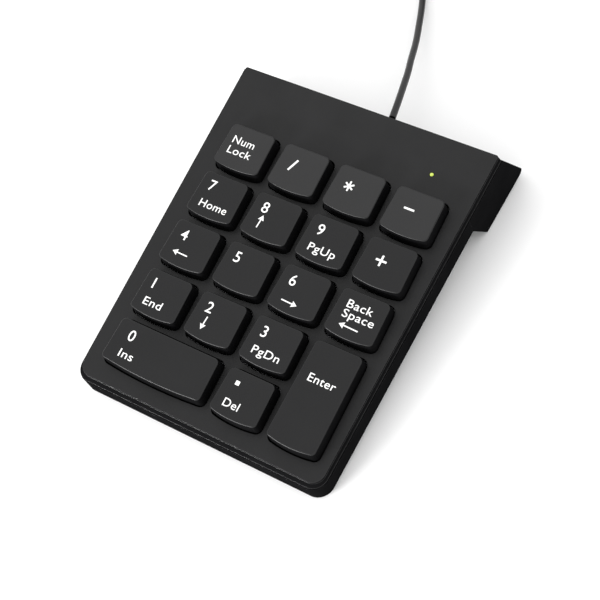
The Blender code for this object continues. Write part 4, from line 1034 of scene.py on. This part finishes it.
def arrow_outline(tail, tip):
    """The outline of a thin arrow."""
    a, b = Vector(tail) * MM, Vector(tip) * MM
    along = (b - a).normalized()
    side = Vector((-along.y, along.x))
    neck = b - along * 1.55 * MM
    shaft, head = 0.19 * MM, 0.98 * MM
    return [a - side * shaft, neck - side * shaft, neck - side * head - along * 0.12 * MM, b,
            neck + side * head - along * 0.12 * MM, neck + side * shaft, a + side * shaft]


def legend_mesh(name, columns, rows):
    """A key's legend as thin raised marks that follow the dished top."""
    bm = bmesh.new()
    for mark in LEGENDS[name]:
        if mark[0] == "text":
            mesh = text_mesh(*mark[1:])
            bm.from_mesh(mesh)
            bpy.data.meshes.remove(mesh)
        elif mark[0] == "arrow":
            add_slab(bm, arrow_outline(*mark[1:]), -0.5, 0.5)
        else:
            for stroke in mark[1]:
                add_slab(bm, bar_outline(*stroke, mark[2]), -0.5, 0.5)
    for vertex in bm.verts:
        surface = KEY_RISE - dish_depth(columns, rows, *vertex.co.xy)
        vertex.co.z = surface + (MARK_PROUD if vertex.co.z > 0 else -MARK_SUNK)
    bmesh.ops.remove_doubles(bm, verts=bm.verts, dist=0.0005 * MM)
    return mesh_from(bm, f"legend_key_{name}")


def make_keys():
    """Eighteen keycaps; those of one size share a mesh. Their legends ride with them."""
    shared = {}
    for name, column, row, columns, rows in KEYS:
        size = (columns, rows, row == 0)
        if size not in shared:
            # The top row takes the lighter key-top copy, a painted sheen.
            top = REAR_KEY_TOP_PAINTED_SHEEN if row == 0 else KEY_TOP_PLASTIC
            shared[size] = key_mesh(columns, rows, columns + rows > 2, top)
            shared[size].use_fake_user = True      # so that stand_for never moves the shared mesh
        place = on_plate(key_centre(column, row, columns, rows))
        mesh = shared[size].copy() if columns + rows > 2 else shared[size]
        cap = new_object("cap_" + name, mesh, place=place)
        stand_for(cap, name + "_key", "keycap", "key_" + name)
        legend = new_object("legend_" + name, legend_mesh(name, columns, rows), LEGEND_WHITE, place=place)
        stand_for(legend, name + "_key", "keycap")


# ------------------------ small pieces

def make_lens():
    """The light pipe, with its end domed a little above the plate."""
    end = LENS_END_RADIUS
    rings = turned_rings([(1.9, -3.1), (1.9, -1.9), (end, -1.9), (end, -0.05), (0.53, 0.02),
                          (0.46, 0.06), (0.32, 0.1), (0.15, 0.12)])
    lens = new_object("lens", skinned("lens", rings), LENS_GLOW, place=on_plate(LED_XY))
    shade(lens, 50)
    stand_for(lens, "case", "led", "led_light_pipe")


def make_domes():
    """The silicone sheet and its domes, one under each key's stem."""
    outline = four_sided(*((LAYER_HALF_WIDTH, y, 2.0 * MM) for y in LAYER_Y))
    sheet = new_object("dome_sheet", slab("dome_sheet", outline, *RUBBER_Z), SILICONE)
    screws = [key_centre(column, row, 1, 1) for column, row in FRAME_SCREW_CELLS]
    combine(sheet, "DIFFERENCE", pillars("screw_holes", [(screws, 1.1, -8, -5)], 24))
    shade(sheet)
    stand_for(sheet, "case", "silicone", "rubber_dome_sheet")
    foot = RUBBER_Z[1]
    rings = turned_rings([(0.3, -4.1), (2.0, -4.15), (3.4, foot / MM), (4.0, foot / MM), (3.94, -5.2),
                          (2.62, -3.84), (2.4, -3.74), (2.3, -3.6), (2.3, -2.78), (2.24, -2.66),
                          (2.1, -2.6), (0.3, -2.6)], 28)
    for name, *cell in KEYS:
        place = on_plate(key_centre(*cell))
        dome = new_object("dome_" + name, skinned("dome_" + name, rings), SILICONE, place=place)
        shade(dome, 40)
        stand_for(dome, "case", "silicone")
        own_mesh(dome)


def make_pads():
    """Four rubber feet, each a disc from the case's underside down to the table."""
    for end, (x, y) in (("front", FRONT_PAD_XY), ("rear", REAR_PAD_XY)):
        for side, sign in (("left", -1), ("right", 1)):
            node = f"{end}_{side}_pad"
            if end == "front":
                slope, top = 0.0, -CASE_DEPTH - 0.02 * MM
            else:
                slope = atan2(FOOT_REAR_BOTTOM[1] - FOOT_FRONT_BOTTOM[1],
                              FOOT_REAR_BOTTOM[0] - FOOT_FRONT_BOTTOM[0])
                top = FOOT_FRONT_BOTTOM[1] + (y - FOOT_FRONT_BOTTOM[0]) * tan(slope) - 0.02 * MM
            plan = circle((sign * x, y), PAD_RADIUS, 48)
            rings = [[Vector((*p, top + (p.y - y) * tan(slope))) for p in plan]]
            for radius, height in ((PAD_RADIUS, 0.3 * MM), (PAD_RADIUS - 0.09 * MM, 0.09 * MM),
                                   (PAD_RADIUS - 0.3 * MM, 0.0), (PAD_RADIUS * 0.5, 0.0)):
                rings.append([Vector((*p, (height - PANEL_ORIGIN[2] - p.y * sin(TILT)) / cos(TILT)))
                              for p in circle((sign * x, y), radius, 48)])
            pad = new_object("pad_" + node[:-4], skinned(node, rings), FOOT_RUBBER)
            shade(pad, 50)
            stand_for(pad, "case", "foot_rubber", node)


# ------------------------ the room

def make_floor():
    """A plain pale table top, large enough to fill every view."""
    bm = bmesh.new()
    bmesh.ops.create_grid(bm, x_segments=8, y_segments=8, size=4)
    mesh = bpy.data.meshes.new("floor")
    bm.to_mesh(mesh)
    bm.free()
    material, tree, shader = node_tree("pale_floor")
    set_colour(tree, shader, noise(tree, 6, 3), (0.93, 0.93, 0.93), (0.95, 0.95, 0.95), (0.2, 0.8))
    set_inputs(shader, {"Roughness": 0.9, "Specular IOR Level": 0.1})
    floor = new_object("floor", mesh, material, place=Matrix.Translation((0, 0, -0.02 * MM)))


def area_light(name, at, target, size, power, size_y=None):
    data = bpy.data.lights.new(name, "AREA")
    data.energy = power
    data.size = size
    if size_y:
        data.shape = "RECTANGLE"
        data.size_y = size_y
    light = linked(name, data)
    at, target = Vector(at), Vector(target)
    light.matrix_world = Matrix.Translation(at) @ (at - target).to_track_quat("Z", "Y").to_matrix().to_4x4()


def make_lights():
    """A bright room, a softbox overhead and a narrow one low at the front left."""
    world = bpy.data.worlds.new("room")
    world.use_nodes = True
    set_inputs(world.node_tree.nodes["Background"], {"Color": (1, 1, 1, 1), "Strength": 1.18})
    bpy.context.scene.world = world
    area_light("overhead", (-0.35, 0.15, 0.95), (0, 0, 0), 0.7, 1.0)
    area_light("front_left", (-0.38, -0.85, 0.3), (0, 0, 0.01), 0.45, 10.5, 0.14)
    scene = bpy.context.scene
    scene.view_settings.view_transform = "Standard"
    scene.view_settings.look = "None"


make_camera()
finish_frame_nodes()
the_cord = make_cord()
on_cord = make_plug() + [make_tie()]
make_strain_relief()
make_top_cover()
make_bottom_case()
make_keys()
make_lens()
make_domes()
make_pads()
make_floor()
make_lights()
